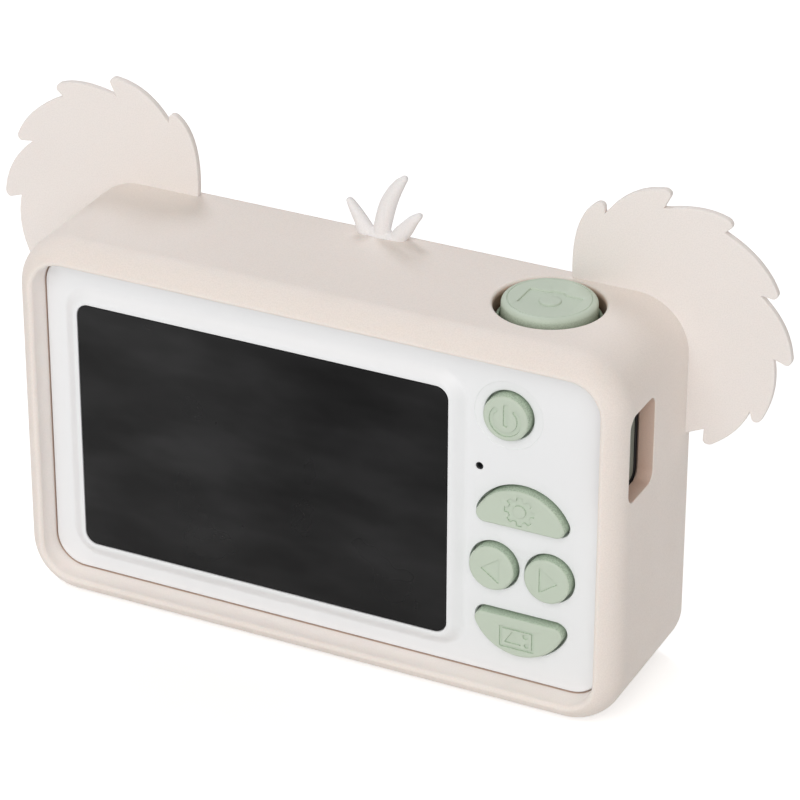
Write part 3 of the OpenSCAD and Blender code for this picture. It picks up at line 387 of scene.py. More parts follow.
def make_finishes(scene):
    sleeve, panel, keys = scene.kids_sleeve, scene.kids_panel, scene.kids_keys
    silicone_finish("sleeve_silicone", sleeve.tint)
    # painted light: the ears' and the tuft's finishes are cooler copies of the sleeve's silicone, for the
    # neutral front light on them
    silicone_finish("ear_silicone", sleeve.ear_front_lit_tint, soft=0.05)
    silicone_finish("tuft_silicone", sleeve.tuft_front_lit_tint, soft=0.05)
    # painted shade: the cover's rubber is the keys' green darkened to 0.36, for the shade of the slot that it
    # lies in
    silicone_finish("cover_rubber", shade(keys.tint, 0.36), 0.12)
    key_finish(keys.tint)
    screen_finish(panel.screen)
    board_finish()
    plastic_finish("shell_plastic", panel.tint, 0.38, 0.35, 0.12, 0.006)
    plastic_finish("ring_plastic", keys.tint, 0.42, 0.2, 0.25, 0.03)
    plastic_finish("dark_plastic", srgb(40, 41, 43), 0.5, 0.2, 0.4, 0.1)
    plastic_finish("connector_plastic", srgb(226, 220, 202), 0.45, 0.3, 0.3, 0.02)
    metal_finish("plated_metal", srgb(206, 206, 204), 0.3, (1, 1, 12))
    metal_finish("contact_gold", srgb(222, 184, 104), 0.22, (1, 1, 12))
    metal_finish("screw_steel", srgb(186, 186, 190), 0.34, (6, 1, 6))
    plain_finish("battery_foil", srgb(176, 182, 190), 0.34, (("noise", 6, 5), (0.3, 0.85), (0.7, 1)),
                 (("noise", 6, 5), 0.28, 0.44), (("noise", 6, 5), 0.45, 0.3), Metallic=0.85)
    plain_finish("clear_glass", srgb(238, 244, 246), 0.03, (("noise", 20, 2), (0.3, 0.97), (0.7, 1)),
                 (("noise", 7, 2), 0.03, 0.05), Transmission_Weight=1.0, IOR=1.5)
    plain_finish("frosted_plastic", srgb(236, 238, 238), 0.35, (("noise", 3, 2), (0.3, 0.95), (0.7, 1)),
                 relief=(("cells", 0.5), 0.5, 0.08), Transmission_Weight=0.5, IOR=1.49)
    plain_finish("lcd_glass", srgb(28, 30, 38), 0.12, (("bands", 0.18), (0.4, 1), (0.6, 1.5)),
                 (("noise", 12, 2), 0.08, 0.16), Coat_Weight=0.5)
    plain_finish("foam", srgb(88, 90, 94), 0.92, (("cells", 0.5), (0.1, 0.6), (0.5, 1)),
                 relief=(("cells", 0.5), 0.7, 0.15))
    plain_finish("flex_film", srgb(196, 128, 48), 0.3,
                 (("bands", 0.5), (0.4, 1), (0.6, srgb(150, 88, 34))), relief=(("bands", 0.5), 0.3, 0.02))
    plain_finish("chip_black", srgb(30, 31, 33), 0.55, (("noise", 0.4, 2), (0.35, 0.8), (0.65, 1.3)),
                 relief=(("noise", 0.2, 2), 0.4, 0.02))
    plain_finish("wire_rubber", srgb(178, 44, 38), 0.45, (("noise", 5, 2), (0.3, 0.9), (0.7, 1)),
                 relief=(("noise", 0.3, 2), 0.2, 0.02))
    plain_finish("led_yellow", srgb(232, 206, 92), 0.3, (("cells", 0.7), (0.1, 1.1), (0.6, 0.8)),
                 relief=(("noise", 0.3, 1), 0.3, 0.03))
    for finish, nodes in NODE_FINISHES.items():
        for node in nodes.split():
            for slot in frame["nodes"][node].material_slots:
                slot.material = FINISHES[finish]


# Drawing, in millimetres --------------------

def box_of(node):
    """Lowest and highest corner of a CAD node at rest, in millimetres."""
    low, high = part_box(node)
    return Vector(low) / MM, Vector(high) / MM


def centre_of(node, axes="xz"):
    """The middle of a CAD node at rest along two axes, in millimetres."""
    low, high = box_of(node)
    return tuple((getattr(low, axis) + getattr(high, axis)) / 2 for axis in axes)


def arc(centre, radius, start, end, steps):
    angles = [start + (end - start) * i / steps for i in range(steps + 1)]
    return [Vector((centre[0] + radius * math.cos(a), centre[1] + radius * math.sin(a))) for a in angles]


def circle(centre, radius, steps):
    return arc(centre, radius, 0, 2 * math.pi * (1 - 1 / steps), steps - 1)


def rounded_rect(centre, width, height, radius, steps=10, straight=1):
    """A rectangle with round corners, each of its sides cut into a number of straight pieces."""
    points = []
    for quarter, (sx, sz) in enumerate(((1, 1), (-1, 1), (-1, -1), (1, -1))):
        middle = (centre[0] + sx * (width / 2 - radius), centre[1] + sz * (height / 2 - radius))
        points += arc(middle, radius, quarter * math.pi / 2, (quarter + 1) * math.pi / 2, steps)
    divided = []
    for i, point in enumerate(points):
        following = points[(i + 1) % len(points)]
        pieces = straight if (i + 1) % (steps + 1) == 0 else 1
        divided += [point.lerp(following, j / pieces) for j in range(pieces)]
    return divided


def half_moon(centre_x, flat, side):
    """The outline of a settings or gallery key, with its flat side on the line z = flat."""
    radius, drop, corner = 7.7, 1.3, 1.4
    corner_y = drop + corner
    corner_x = math.sqrt((radius - corner) ** 2 - corner_y ** 2)
    turn = math.atan2(corner_y, corner_x)
    points = (arc((0, -drop), radius, turn, math.pi - turn, 48)
              + arc((-corner_x, corner), corner, math.pi - turn, 1.5 * math.pi, 12)
              + arc((corner_x, corner), corner, -math.pi / 2, turn, 12))
    return [Vector((centre_x + p.x, flat + side * p.y)) for p in points]


def rounded_corners(points, radius, steps=6):
    """A polygon with each of its corners turned into an arc, a sharp notch kept small."""
    result = []
    for i, point in enumerate(points):
        before, after = points[i - 1] - point, points[(i + 1) % len(points)] - point
        angle = before.angle(after)
        if angle > math.radians(165):
            result.append(point)
            continue
        reach = min(radius / math.tan(angle / 2), before.length * 0.45, after.length * 0.45)
        start, end = point + before.normalized() * reach, point + after.normalized() * reach
        result += bow(start, point, end, steps)
    return result


def bow(start, control, end, steps=26):
    """Points of a parabola from start to end whose end tangents meet at the control point."""
    p, c, q = Vector(start), Vector(control), Vector(end)
    return [p * (1 - t) ** 2 + c * 2 * t * (1 - t) + q * t * t for t in (i / steps for i in range(steps + 1))]


def quarter_turn(radius, steps):
    """Pairs that say how far a hollow quarter circle is from the two lines that it joins."""
    angles = [i / steps * math.pi / 2 for i in range(steps + 1)]
    return [(radius * (1 - math.sin(a)), radius * (1 - math.cos(a))) for a in angles]


def rounding(radius, level, steps=6):
    """Steps of (growth, level) round a top edge, from its wall to its face."""
    return [(-deep, level - radius + radius * math.sin(i / steps * math.pi / 2))
            for i, (_, deep) in enumerate(quarter_turn(radius, steps))]


def on_back(point, level):
    return point[0], level, point[1]


def on_top(point, level):
    return point[0], point[1], level


def on_side(point, level):
    return level, point[0], point[1]


class Outline:
    """A closed outline that runs anticlockwise and can be grown or shrunk."""

    def __init__(self, points):
        clean = [p for i, p in enumerate(points) if (p - points[i - 1]).length > 1e-4]
        area = sum(clean[i - 1].x * p.y - p.x * clean[i - 1].y for i, p in enumerate(clean))
        self.points = clean if area > 0 else clean[::-1]
        self.out = []
        for i, point in enumerate(self.points):
            a = (point - self.points[i - 1]).normalized()
            b = (self.points[(i + 1) % len(self.points)] - point).normalized()
            normal = Vector((a.y + b.y, -a.x - b.x)).normalized()
            self.out.append(normal / max(0.5, normal.dot(Vector((a.y, -a.x)))))

    def grown(self, by):
        return [point + out * by for point, out in zip(self.points, self.out)]


def disc(centre, radius, steps):
    return Outline(circle(centre, radius, steps))


def slab(*sizes):
    return Outline(rounded_rect(*sizes))


class Skin:
    """The closed surface of one piece, in millimetres until it is finished."""

    def __init__(self, stand=on_back):
        self.mesh = bmesh.new()
        self.stand = stand

    def ring(self, points, level):
        return [self.mesh.verts.new(self.stand(p, level)) for p in points]

    def band(self, rings):
        for lower, upper in zip(rings, rings[1:]):
            for i in range(len(lower)):
                self.mesh.faces.new((lower[i - 1], lower[i], upper[i], upper[i - 1]))

    def wall(self, outline, steps):
        """A wall along an outline through steps of (growth, level)."""
        self.band([self.ring(outline.grown(growth), level) for growth, level in steps])

    def block(self, outline, steps):
        """A wall that is closed at both of its ends."""
        self.wall(outline, steps)
        for growth, level in (steps[0], steps[-1]):
            self.fill([outline.grown(growth)], level)

    def lathe(self, centre, profile, steps):
        """Turns a closed profile of (radius, level) about an axis through centre."""
        turned = [self.ring(circle(centre, radius, steps), level) for radius, level in profile]
        self.band(turned + [turned[0]])

    def fill(self, loops, level):
        """Fills the flat area that lies inside an odd number of the loops."""
        if len(loops) == 1:
            self.mesh.faces.new(self.ring(loops[0], level))
            return
        points, edges = [], []
        for loop in loops:
            first = len(points)
            points += loop
            edges += [(first + i, first + (i + 1) % len(loop)) for i in range(len(loop))]
        flat, lines, faces, _, sources, _ = delaunay_2d_cdt(points, edges, [], 0, 1e-5)
        borders = {frozenset(line) for line, source in zip(lines, sources) if source}
        sides = [[frozenset((face[j - 1], face[j])) for j in range(len(face))] for face in faces]
        beside = {}
        for i, edges_of_face in enumerate(sides):
            for edge in edges_of_face:
                beside.setdefault(edge, []).append(i)
        # a walk inwards from the rim goes in or out at each border that it crosses
        within = {owners[0]: edge in borders for edge, owners in beside.items() if len(owners) == 1}
        waiting = list(within)
        while waiting:
            i = waiting.pop()
            for edge in sides[i]:
                for other in beside[edge]:
                    if other not in within:
                        within[other] = within[i] != (edge in borders)
                        waiting.append(other)
        verts = self.ring(flat, level)
        for i, face in enumerate(faces):
            if within[i]:
                self.mesh.faces.new([verts[j] for j in face])

    def finish(self, name, finish, sharp=38):
        """Closes the surface and turns it into a smooth object in metres."""
        mesh = self.mesh
        bmesh.ops.remove_doubles(mesh, verts=mesh.verts, dist=1e-3)
        bmesh.ops.delete(mesh, geom=[e for e in mesh.edges if not e.link_faces], context="EDGES")
        bmesh.ops.delete(mesh, geom=[v for v in mesh.verts if not v.link_faces], context="VERTS")
        if not all(edge.is_manifold for edge in mesh.edges):
            raise RuntimeError(name + " has an open or doubled edge")
        bmesh.ops.recalc_face_normals(mesh, faces=mesh.faces)
        bmesh.ops.scale(mesh, vec=(MM, MM, MM), verts=mesh.verts)
        data = bpy.data.meshes.new(name)
        mesh.to_mesh(data)
        mesh.free()
        piece = add_object(name, data)
        data.materials.append(FINISHES[finish] if finish else None)
        soften(piece, sharp)
        return piece


def add_object(name, data):
    item = bpy.data.objects.new(name, data)
    bpy.context.scene.collection.objects.link(item)
    return item


def soften(piece, sharp):
    """Shades a piece smoothly but for the edges that turn by more than sharp degrees."""
    piece.data.polygons.foreach_set("use_smooth", [True] * len(piece.data.polygons))
    piece.data.set_sharp_from_angle(angle=math.radians(sharp))


def bake(piece):
    """Turns a piece and its modifiers into a plain mesh."""
    graph = bpy.context.evaluated_depsgraph_get()
    old = piece.data
    piece.data = bpy.data.meshes.new_from_object(piece.evaluated_get(graph))
    piece.modifiers.clear()
    bpy.data.meshes.remove(old)


def volume(piece):
    """Volume of a closed piece in cubic metres."""
    shape = bmesh.new()
    shape.from_mesh(piece.data)
    if not all(edge.is_manifold for edge in shape.edges):
        raise RuntimeError(piece.name + " has an open or doubled edge")
    size = shape.calc_volume()
    shape.free()
    return size


def cut(piece, cutter):
    """Takes a closed cutter out of a piece, and makes sure that it has gone."""
    before = volume(piece)
    modifier = piece.modifiers.new("cut", "BOOLEAN")
    modifier.operation, modifier.solver, modifier.object = "DIFFERENCE", "EXACT", cutter
    bake(piece)
    bpy.data.objects.remove(cutter)
    if not 0 < volume(piece) < before:
        raise RuntimeError(piece.name + " could not be cut")


def even_shading(piece):
    """Keeps flat areas flat beside narrow rounded edges, and gives the piece back."""
    modifier = piece.modifiers.new("even_shading", "WEIGHTED_NORMAL")
    modifier.keep_sharp, modifier.weight = True, 100
    bake(piece)
    return piece


def mark(piece, name, measure):
    """Stores a value from 0 to 1 at each corner of each face. measure takes the corner's place in
    millimetres and the face's normal."""
    mesh = piece.data
    store = mesh.attributes.new(name, "FLOAT", "CORNER")
    values = [0.0] * len(mesh.loops)
    for face in mesh.polygons:
        for i in face.loop_indices:
            place = mesh.vertices[mesh.loops[i].vertex_index].co / MM
            values[i] = min(max(measure(place, face.normal), 0.0), 1.0)
    store.data.foreach_set("value", values)


def hand_over(piece, body, slot, *nodes):
    """Lets a finished piece move with its body and stand for its CAD nodes."""
    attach(piece, body)
    if nodes:
        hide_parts(*nodes)


# Placing what the photograph shows --------------------

def camera_matrix(stage):
    position, forward = Vector(stage.position), Vector(stage.aim) - Vector(stage.position)
    forward.normalize()
    right = forward.cross(Vector((0, 0, 1))).normalized()
    up = right.cross(forward)
    turn = Matrix.Rotation(stage.roll, 3, -forward)
    right, up = turn @ right, turn @ up
    matrix = Matrix((right, up, -forward)).transposed().to_4x4()
    matrix.translation = position
    return matrix


def surface_at(sign, outline, stand, level):
    """The place in millimetres where the photograph shows a sign on a flat face, or the nearest to it."""
    carrier = BVHTree.FromPolygons(
        [Vector(stand(p, level)) * MM for p in outline.points], [range(len(outline.points))])
    camera = bpy.context.scene.camera
    data = camera.data
    x, y = SIGN_POINTS[sign]
    ray = Vector((x - W / 2 + data.shift_x * L, H / 2 - y + data.shift_y * L,
                  -L * data.lens / data.sensor_width))
    origin = camera.matrix_world.translation
    ray = (camera.matrix_world.to_3x3() @ ray).normalized()
    hit = carrier.ray_cast(origin, ray)[0]
    if hit is None:
        reach = (carrier.find_nearest(origin)[0] - origin).dot(ray)
        for _ in range(8):
            hit = carrier.find_nearest(origin + ray * reach)[0]
            reach = (hit - origin).dot(ray)
    return hit / MM


# The sleeve --------------------

PANEL_FACE = 9.4       # the level of the white panel's face, in millimetres
# the foot, the control point and the tip of each lock's outer edge, from the sleeve's top corner
EAR_LOCKS = (
    ((-18.8, 0), (-19.4, 11.3), (-14.1, 13.3)), ((-13.9, 11.3), (-9.8, 17.2), (-3.3, 17)),
    ((-4.8, 14), (2.4, 16), (6.4, 13.6)), ((4.7, 12.1), (11.8, 8.8), (13.6, 3)),
    ((10.5, 3.4), (15.9, -0.9), (15.9, -7.3)), ((13, -6.3), (14.4, -12.5), (10.6, -18.5)),
    ((9.8, -15.7), (8.2, -20.3), (2.6, -23.4)))
EAR_END = (2.8, -20.2)
# the middle line and half width of each blade, from its foot to its tip
TUFT_BLADES = (
    ((0, -1, 1.35), (-0.05, 1.3, 1.4), (-0.9, 4.9, 1.38), (-1.75, 7.0, 1.2), (-2.75, 8.75, 0.95),
     (-3.4, 9.6, 0.72), (-3.7, 9.95, 0.58)),
    ((1.9, -0.9, 1.3), (2.7, 0.3, 1.38), (3.5, 1.78, 1.15), (4.55, 3.4, 0.88), (5.15, 4.3, 0.66),
     (5.4, 4.65, 0.54)),
    ((-2, -0.9, 1.2), (-3.1, 0.73, 1.3), (-4, 1.85, 1.2), (-5.1, 3.35, 0.9), (-5.85, 4.1, 0.66),
     (-6.15, 4.4, 0.54)))


def rounded_tips(points, radius, steps=8):
    """An open outline of curved locks with a round end on each outward tip."""
    result = list(points)
    i = 1
    while i < len(result) - 1:
        tip = result[i]
        before, after = tip - result[i - 1], result[i + 1] - tip
        angle = math.pi - abs(before.angle(after))
        if before.cross(after) > 0 or angle > math.radians(120):
            i += 1
            continue
        reach = radius / math.tan(angle / 2)
        pull = math.sin(angle / 2)
        first = i
        while first > 0 and (result[first] - tip).length < reach:
            first -= 1
        start, end = result[first], tip + after * (reach / after.length)
        curve = []
        for j in range(1, steps):
            t = j / steps
            a, b, c = (1 - t) ** 2, 2 * t * (1 - t) * pull, t * t
            curve.append((start * a + tip * b + end * c) / (a + b + c))
        result[first + 1:i + 1] = curve + [end]
        i = first + len(curve) + 2
    return result


def sleeve_profile(s):
    """The sleeve's section as (inset, y), from the cavity's floor over the lip to the front edge."""
    front, rear = -s.depth / MM / 2, s.depth / MM / 2
    wall, big, small, lip = (v / MM for v in (s.wall, s.rear_round, s.front_round, s.lip_round))
    floor, hollow = front + s.front_wall / MM, 0.5
    points = [(wall + deep, floor + high) for deep, high in quarter_turn(hollow, 4)]
    points += [(wall, floor + (rear - floor) * i / 6) for i in range(1, 5)]
    points += [(wall, PANEL_FACE - 0.2), (wall, PANEL_FACE)]
    # the lip's small rounding touches the cavity's wall and the large outer rounding
    across = big - (wall - lip)
    lift = math.sqrt((big - lip) ** 2 - across ** 2)
    touch = math.atan2(lift, -across)
    angles = [touch * i / 8 for i in range(9)]
    points += [(wall - lip + lip * math.cos(a), rear - big + lift + lip * math.sin(a)) for a in angles]
    angles = [touch + (math.pi - touch) * i / 16 for i in range(1, 17)]
    points += [(big + big * math.cos(a), rear - big + big * math.sin(a)) for a in angles]
    points += [(0, rear - big - (rear - big - front - small) * i / 8) for i in range(1, 9)]
    points += [(deep, front + high) for high, deep in quarter_turn(small, 6)[1:]]
    return points


def flared_cutter(name, outline, stand, surface, far, flare, outward, rings=()):
    """A cutter that opens out at the surface, so that the cut gets a rounded edge. The rings are
    further depths at which its wall is divided."""
    clear = 3
    steps = [(flare, surface + outward * clear)]
    steps += [(growth, surface - outward * depth) for growth, depth in quarter_turn(flare, 6)]
    steps += [(0, surface - outward * depth) for depth in rings] + [(0, far)]
    skin = Skin(stand)
    skin.block(outline, steps)
    return skin.finish(name, None)


def sleeve_cutters(s):
    """The holes of the side slot, the shutter, the lens, the flash and the speaker's grille."""
    side, top, front = -s.width / MM / 2, s.height / MM, -s.depth / MM / 2
    # the cutters end in the cavity behind the side and behind the front
    inner_side, inner_front = -46, -8
    across, up = centre_of("port_cover", "yz")
    slot = slab((across, up + 0.05), 9.0, 14.1, 1.8)
    yield flared_cutter("slot_cut", slot, on_side, side, inner_side, 0.2, -1)
    # the wall's inner edge is cut back, so that a dark gap is left round the cover
    relief = Skin(on_side)
    relief.block(slot, [(0.7, side + 2.5), (0.7, inner_side)])
    yield relief.finish("slot_relief", None)
    shutter = disc(centre_of("shutter_collar", "xy"), 8.3, 96)
    yield flared_cutter("shutter_cut", shutter, on_top, top, top - 5, 0.5, 1, (1.1,))
    speaker = Vector(centre_of("speaker"))
    ring = [speaker + 4.5 * Vector((math.cos(a), math.sin(a))) for a in (i * math.pi / 3 for i in range(6))]
    for name, place, radius, steps, flare in (
            ("lens_cut", (0, top / 2), 15.2, 96, 0.4), ("flash_cut", centre_of("flash_window"), 3.3, 48, 0.4),
            *(("grille_cut", hole, 1.0, 28, 0.3) for hole in [speaker] + ring)):
        yield flared_cutter(name, disc(place, radius, steps), on_back, front, inner_front, flare, -1)


def ear_points(side, s):
    """The ear's outline, rounded at its tips, with its root inside the sleeve's wall."""
    corner = Vector((s.width / MM / 2, s.height / MM))
    outer = [p for lock in EAR_LOCKS for p in bow(*lock)] + [Vector(EAR_END)]
    inset, radius = 1.5, s.corner / MM
    root = [Vector((-inset, -22.2))]
    root += arc((-radius, -radius), radius - inset, 0, math.pi / 2, 10)
    root.append(Vector((-18.8, -inset)))
    outline = rounded_tips(outer, s.lock_tip / MM) + root
    return [Vector((side * (corner.x + p.x), corner.y + p.y)) for p in outline]


def make_ear(name, side, s):
    rear = -s.depth / MM / 2 + 2.65
    front = rear - s.ear_thickness / MM
    edge = s.ear_edge / MM
    skin = Skin()
    skin.block(Outline(ear_points(side, s)),
               [(-deep, front + high) for deep, high in quarter_turn(edge, 4)] + rounding(edge, rear, 4))
    return even_shading(skin.finish(name, "ear_silicone", 50))


def eased(stations, t):
    """The value at t, from 0 to 1, of a smooth curve through the stations."""
    t = min(max(t, 0), 1)
    spans = len(stations) - 1
    i = min(int(t * spans), spans - 1)
    u = t * spans - i
    p0, p1, p2, p3 = (Vector(stations[min(max(j, 0), spans)]) for j in (i - 1, i, i + 1, i + 2))
    return (2 * p1 + (p2 - p0) * u + (2 * p0 - 5 * p1 + 4 * p2 - p3) * u * u
            + (3 * p1 - p0 - 3 * p2 + p3) * u ** 3) / 2


def make_tuft(s):
    """Three leaf-shaped blades that grow out of one soft foot."""
    top = s.height / MM
    foot_half = 1.3
    middle_y = -s.depth / MM / 2 + 0.95 + foot_half
    around, steps, ahead = 24, 44, 0.01
    skin = Skin()

    def section(centre, across, wide, thick):
        ring = []
        for a in (2 * math.pi * k / around for k in range(around)):
            p = centre + across * wide * math.cos(a)
            ring.append(skin.mesh.verts.new((p.x, middle_y + thick * math.sin(a), top + p.y)))
        return ring

    for stations in TUFT_BLADES:
        rings = []
        for t in (i / steps for i in range(steps + 1)):
            here = eased(stations, t)
            along = (eased(stations, t + ahead) - eased(stations, t - ahead)).xy.normalized()
            across = Vector((-along.y, along.x))
            thick = min(foot_half - 0.1, 0.3 + 0.62 * here.z)
            rings.append(section(here.xy, across, here.z, thick))
        # the round end of the tip
        for a in (j / 6 * math.pi / 2 for j in range(1, 6)):
            rings.append(section(here.xy + along * here.z * math.sin(a), across,
                                 here.z * math.cos(a), thick * math.cos(a)))
        skin.band(rings)
        skin.mesh.faces.new(rings[-1])
        skin.mesh.faces.new(rings[0][::-1])
    mound = bmesh.ops.create_uvsphere(skin.mesh, u_segments=32, v_segments=16, radius=1)["verts"]
    bmesh.ops.scale(skin.mesh, vec=(3.9, foot_half, 0.8), verts=mound)
    bmesh.ops.translate(skin.mesh, vec=(-0.2, middle_y, top), verts=mound)
    piece = skin.finish("hair_tuft", "tuft_silicone")
    remesh = piece.modifiers.new("join", "REMESH")
    remesh.mode, remesh.voxel_size = "VOXEL", 0.12 * MM
    smooth = piece.modifiers.new("soft", "SMOOTH")
    smooth.factor, smooth.iterations = 0.5, 5
    bake(piece)
    soften(piece, 180)
    return piece


def make_sleeve(s):
    """The sleeve's shell: one section carried round a rounded rectangle, then cut open."""
    side, top, front = -s.width / MM / 2, s.height / MM, -s.depth / MM / 2
    corner, lip, middle = s.corner / MM, (s.wall - s.lip_round) / MM, top / 2
    skin = Skin()
    skin.block(slab((0, middle), s.width / MM, top, corner, 16, 14),
               [(-inset, y) for inset, y in sleeve_profile(s)])
    piece = skin.finish("sleeve_body", "sleeve_silicone")
    for cutter in sleeve_cutters(s):
        cut(piece, cutter)
    soften(piece, 40)
    even_shading(piece)
    button = Vector(centre_of("shutter_collar", "xy"))

    def inset(place):
        """How far a point lies inside the sleeve's outline."""
        across = abs(place.x) + side + corner
        up = abs(place.z - middle) - middle + corner
        return corner - math.hypot(max(across, 0), max(up, 0)) - min(max(across, up), 0)

    def pale(place, normal):
        """Painted light: where the lip's inner wall is painted a paler tint, up to its rounded edge."""
        if inset(place) < lip - 0.05 or place.y < PANEL_FACE - 0.01:
            return 0
        return (13.5 - place.y) / 0.7

    def deep(place, normal):
        """Painted shade: how dark to paint the depths of the slot, the shutter's hole, the holes in the front
        and the lip's foot.
        """
        x, y, z = place
        if normal.x > -0.3 and side < x < -46.2 and 0 < y < 10.7 and 36 < z < 54:
            past = x > side + 2.51 or x > side + 2.45 and abs(normal.x) > 0.5
            return 0.95 if past else 0.3 + 0.05 * (x - side)
        if z > top - 5 and (place.xy - button).length < 9:
            return 0.95 * (top - 0.15 - z)
        if abs(normal.y) < 0.9 and front < y < front + 2.6 and abs(x) < 45 and 3 < z < top - 3:
            return 0.6 * (y - front)
        if 5 < y < PANEL_FACE - 0.1 and abs(normal.y) < 0.5 and inset(place) > lip:
            return 0.45
        return 0

    # painted shade in the slot, the holes and the lip's foot
    mark(piece, "deep", deep)
    # painted light on the lip's inner wall
    mark(piece, "pale", pale)
    return piece


class KIDSCAMERA_OT_sleeve(bpy.types.Operator):
    """Make the silicone sleeve with its ears and its tuft"""
    bl_idname = "kids_camera.sleeve"
    bl_label = "Sleeve, ears and tuft"

    def execute(self, context):
        s = context.scene.kids_sleeve
        for piece in (make_sleeve(s), make_ear("ear_left", 1, s), make_ear("ear_right", -1, s), make_tuft(s)):
            hand_over(piece, "camera", "sleeve_silicone", "silicone_sleeve")
        return {"FINISHED"}


# The keys --------------------

def key_layout():
    """The outline of each key on the panel, by node."""
    layout = {node: disc(centre_of(node), radius, 72)
              for node, radius in (("power_key", 3.6), ("left_key", 3.65), ("right_key", 3.65))}
    flange = 0.6
    low, high = box_of("settings_key")
    layout["settings_key"] = Outline(half_moon((low.x + high.x) / 2, low.z + flange, 1))
    low, high = box_of("gallery_key")
    layout["gallery_key"] = Outline(half_moon((low.x + high.x) / 2, high.z - flange, -1))
    return layout


def stroke(points, width):
    """The outline of a line of even width with round ends."""
    half = width / 2
    left, right = [], []
    for i, point in enumerate(points):
        along = (points[min(i + 1, len(points) - 1)] - points[max(i - 1, 0)]).normalized()
        across = Vector((-along.y, along.x)) * half
        left.append(point + across)
        right.append(point - across)
    caps = []
    for end, inner in ((points[-1], points[-2]), (points[0], points[1])):
        way = (end - inner).normalized()
        turn = math.atan2(way.y, way.x)
        caps.append(arc(end, half, turn + math.pi / 2, turn - math.pi / 2, 8))
    return left[:-1] + caps[0] + right[::-1][1:-1] + caps[1]


# Each sign is a list of outlines about its middle, its thin lines as wide as line. What lies inside
# an "out" outline is sunk, and what lies inside an "in" outline within it stands.

def power_sign(line):
    band = 1.7 * line
    ring = arc((0, 0), 2.2, math.radians(135), math.radians(405), 48)
    bar = [Vector((0.1, z)) for z in (-0.6, 0.8, 2.25)]
    return [("out", stroke(ring, band)), ("out", stroke(bar, 1.15 * band))]


def arrow_sign(line):
    corners = [Vector(p) for p in ((1.5, 0), (-1.5, 2.15), (-1.5, -2.15))]
    return [("out", rounded_corners(corners, 0.2))]


def gear_sign(line):
    teeth = []
    for tooth in range(8):
        for turn, radius in ((-0.26, 1.85), (-0.18, 2.45), (0.18, 2.45), (0.26, 1.85)):
            a = tooth * math.pi / 4 + turn
            teeth.append(Vector((radius * math.cos(a), radius * math.sin(a))))
    return [("out", rounded_corners(teeth, 0.14, 3)), ("in", circle((0, 0), 1.0, 40))]


def picture_sign(line):
    width, height = 5.6, 3.6
    hill = [Vector((-2, -0.95)), Vector((0.8, -0.95)), Vector((-0.7, 1.15))]
    return [("out", rounded_rect((0, 0), width, height, 0.3, 5)),
            ("in", rounded_rect((0, 0), width - 2 * line, height - 2 * line, 0.12, 5)),
            ("out", rounded_corners(hill, 0.12)), ("out", circle((1.45, 0.75), 0.45, 24)),
            ("out", circle((1.6, -0.8), 0.36, 24))]


def camera_sign(line):
    body = [Vector(p) for p in (
        (-4.2, -2.5), (4.2, -2.5), (4.2, 2.5), (1.35, 2.5), (0.9, 3.0), (-0.9, 3.0), (-1.35, 2.5),
        (-4.2, 2.5))]
    return [("out", rounded_corners(body, 0.3, 4)), ("in", circle((0, -0.05), 1.62, 48))]


def press_sign(skin, sign, spot, flip, top, depth):
    """Sinks a sign into a flat top. Gives back the loops that the top face leaves open."""
    lip, draft = 0.07, 0.05
    opened, floors = [], []
    for kind, points in sign:
        outline = Outline([Vector((spot[0] + flip[0] * p.x, spot[1] + flip[1] * p.y)) for p in points])
        sense = 1 if kind == "out" else -1
        skin.wall(outline, [
            (sense * lip, top), (sense * lip * 0.35, top - lip * 0.3), (0, top - lip),
            (-sense * draft, top - depth)])
        opened.append(outline.grown(sense * lip))
        floors.append(outline.grown(-sense * draft))
    skin.fill(floors, top - depth)
    return opened


def make_key(name, outline, sign, turn, keys):
    low, high = box_of(name)
    top, back = high.y, low.y
    flange, edge = 0.6, keys.edge / MM
    spot = surface_at(name.replace("_key", "_sign"), outline, on_back, top)
    skin = Skin()
    opened = press_sign(skin, sign(keys.line / MM), spot.xz, (-turn, 1), top, keys.sign_depth / MM)
    skin.fill([outline.grown(-edge)] + opened, top)
    skin.wall(outline, [(flange, back), (flange, back + 0.8), (0, back + 0.8)] + rounding(edge, top))
    skin.fill([outline.grown(flange)], back)
    piece = even_shading(skin.finish(name + "_cap", "key_plastic", 42))
    # painted shade: the key's sides below its face are marked for the darker side colour
    mark(piece, "deep", lambda place, normal: abs(normal.y) < 0.4 and place.y < top - 0.01)
    return piece


def make_shutter(keys):
    """The button's round cap, hollow from below, on its stem."""
    low, high = box_of("shutter_button")
    centre = Vector(centre_of("shutter_collar", "xy"))
    top, base = high.z + 0.25, low.z
    edge, roof = keys.shutter_edge / MM, top - 1.8
    outline, inner, stem = disc(centre, 7.1, 96), disc(centre, 5.7, 96), disc(centre, 2.0, 48)
    spot = surface_at("shutter_sign", outline, on_top, top)
    skin = Skin(on_top)
    opened = press_sign(skin, camera_sign(keys.line / MM), spot.xy, (-1, -1), top, keys.sign_depth / MM)
    skin.fill([outline.grown(-edge - 0.2)] + opened, top)
    skin.wall(outline, [(0, base), (0, top - 2.2)] + rounding(edge, top, 8)
              + [(-edge - 0.1, top - 0.12), (-edge - 0.2, top)])
    skin.wall(inner, [(0, base), (0, roof - 0.3), (-0.3, roof)])
    skin.wall(stem, [(0, base), (0, roof)])
    skin.fill([outline.grown(0), inner.grown(0), stem.grown(0)], base)
    skin.fill([inner.grown(-0.3), stem.grown(0)], roof)
    piece = even_shading(skin.finish("shutter_cap", "key_plastic", 42))
    # painted shade: the cap is painted darker towards its foot, down in the sleeve's hole
    mark(piece, "deep", lambda place, normal: (top - 0.2 - place.z) * 0.75)
    return piece


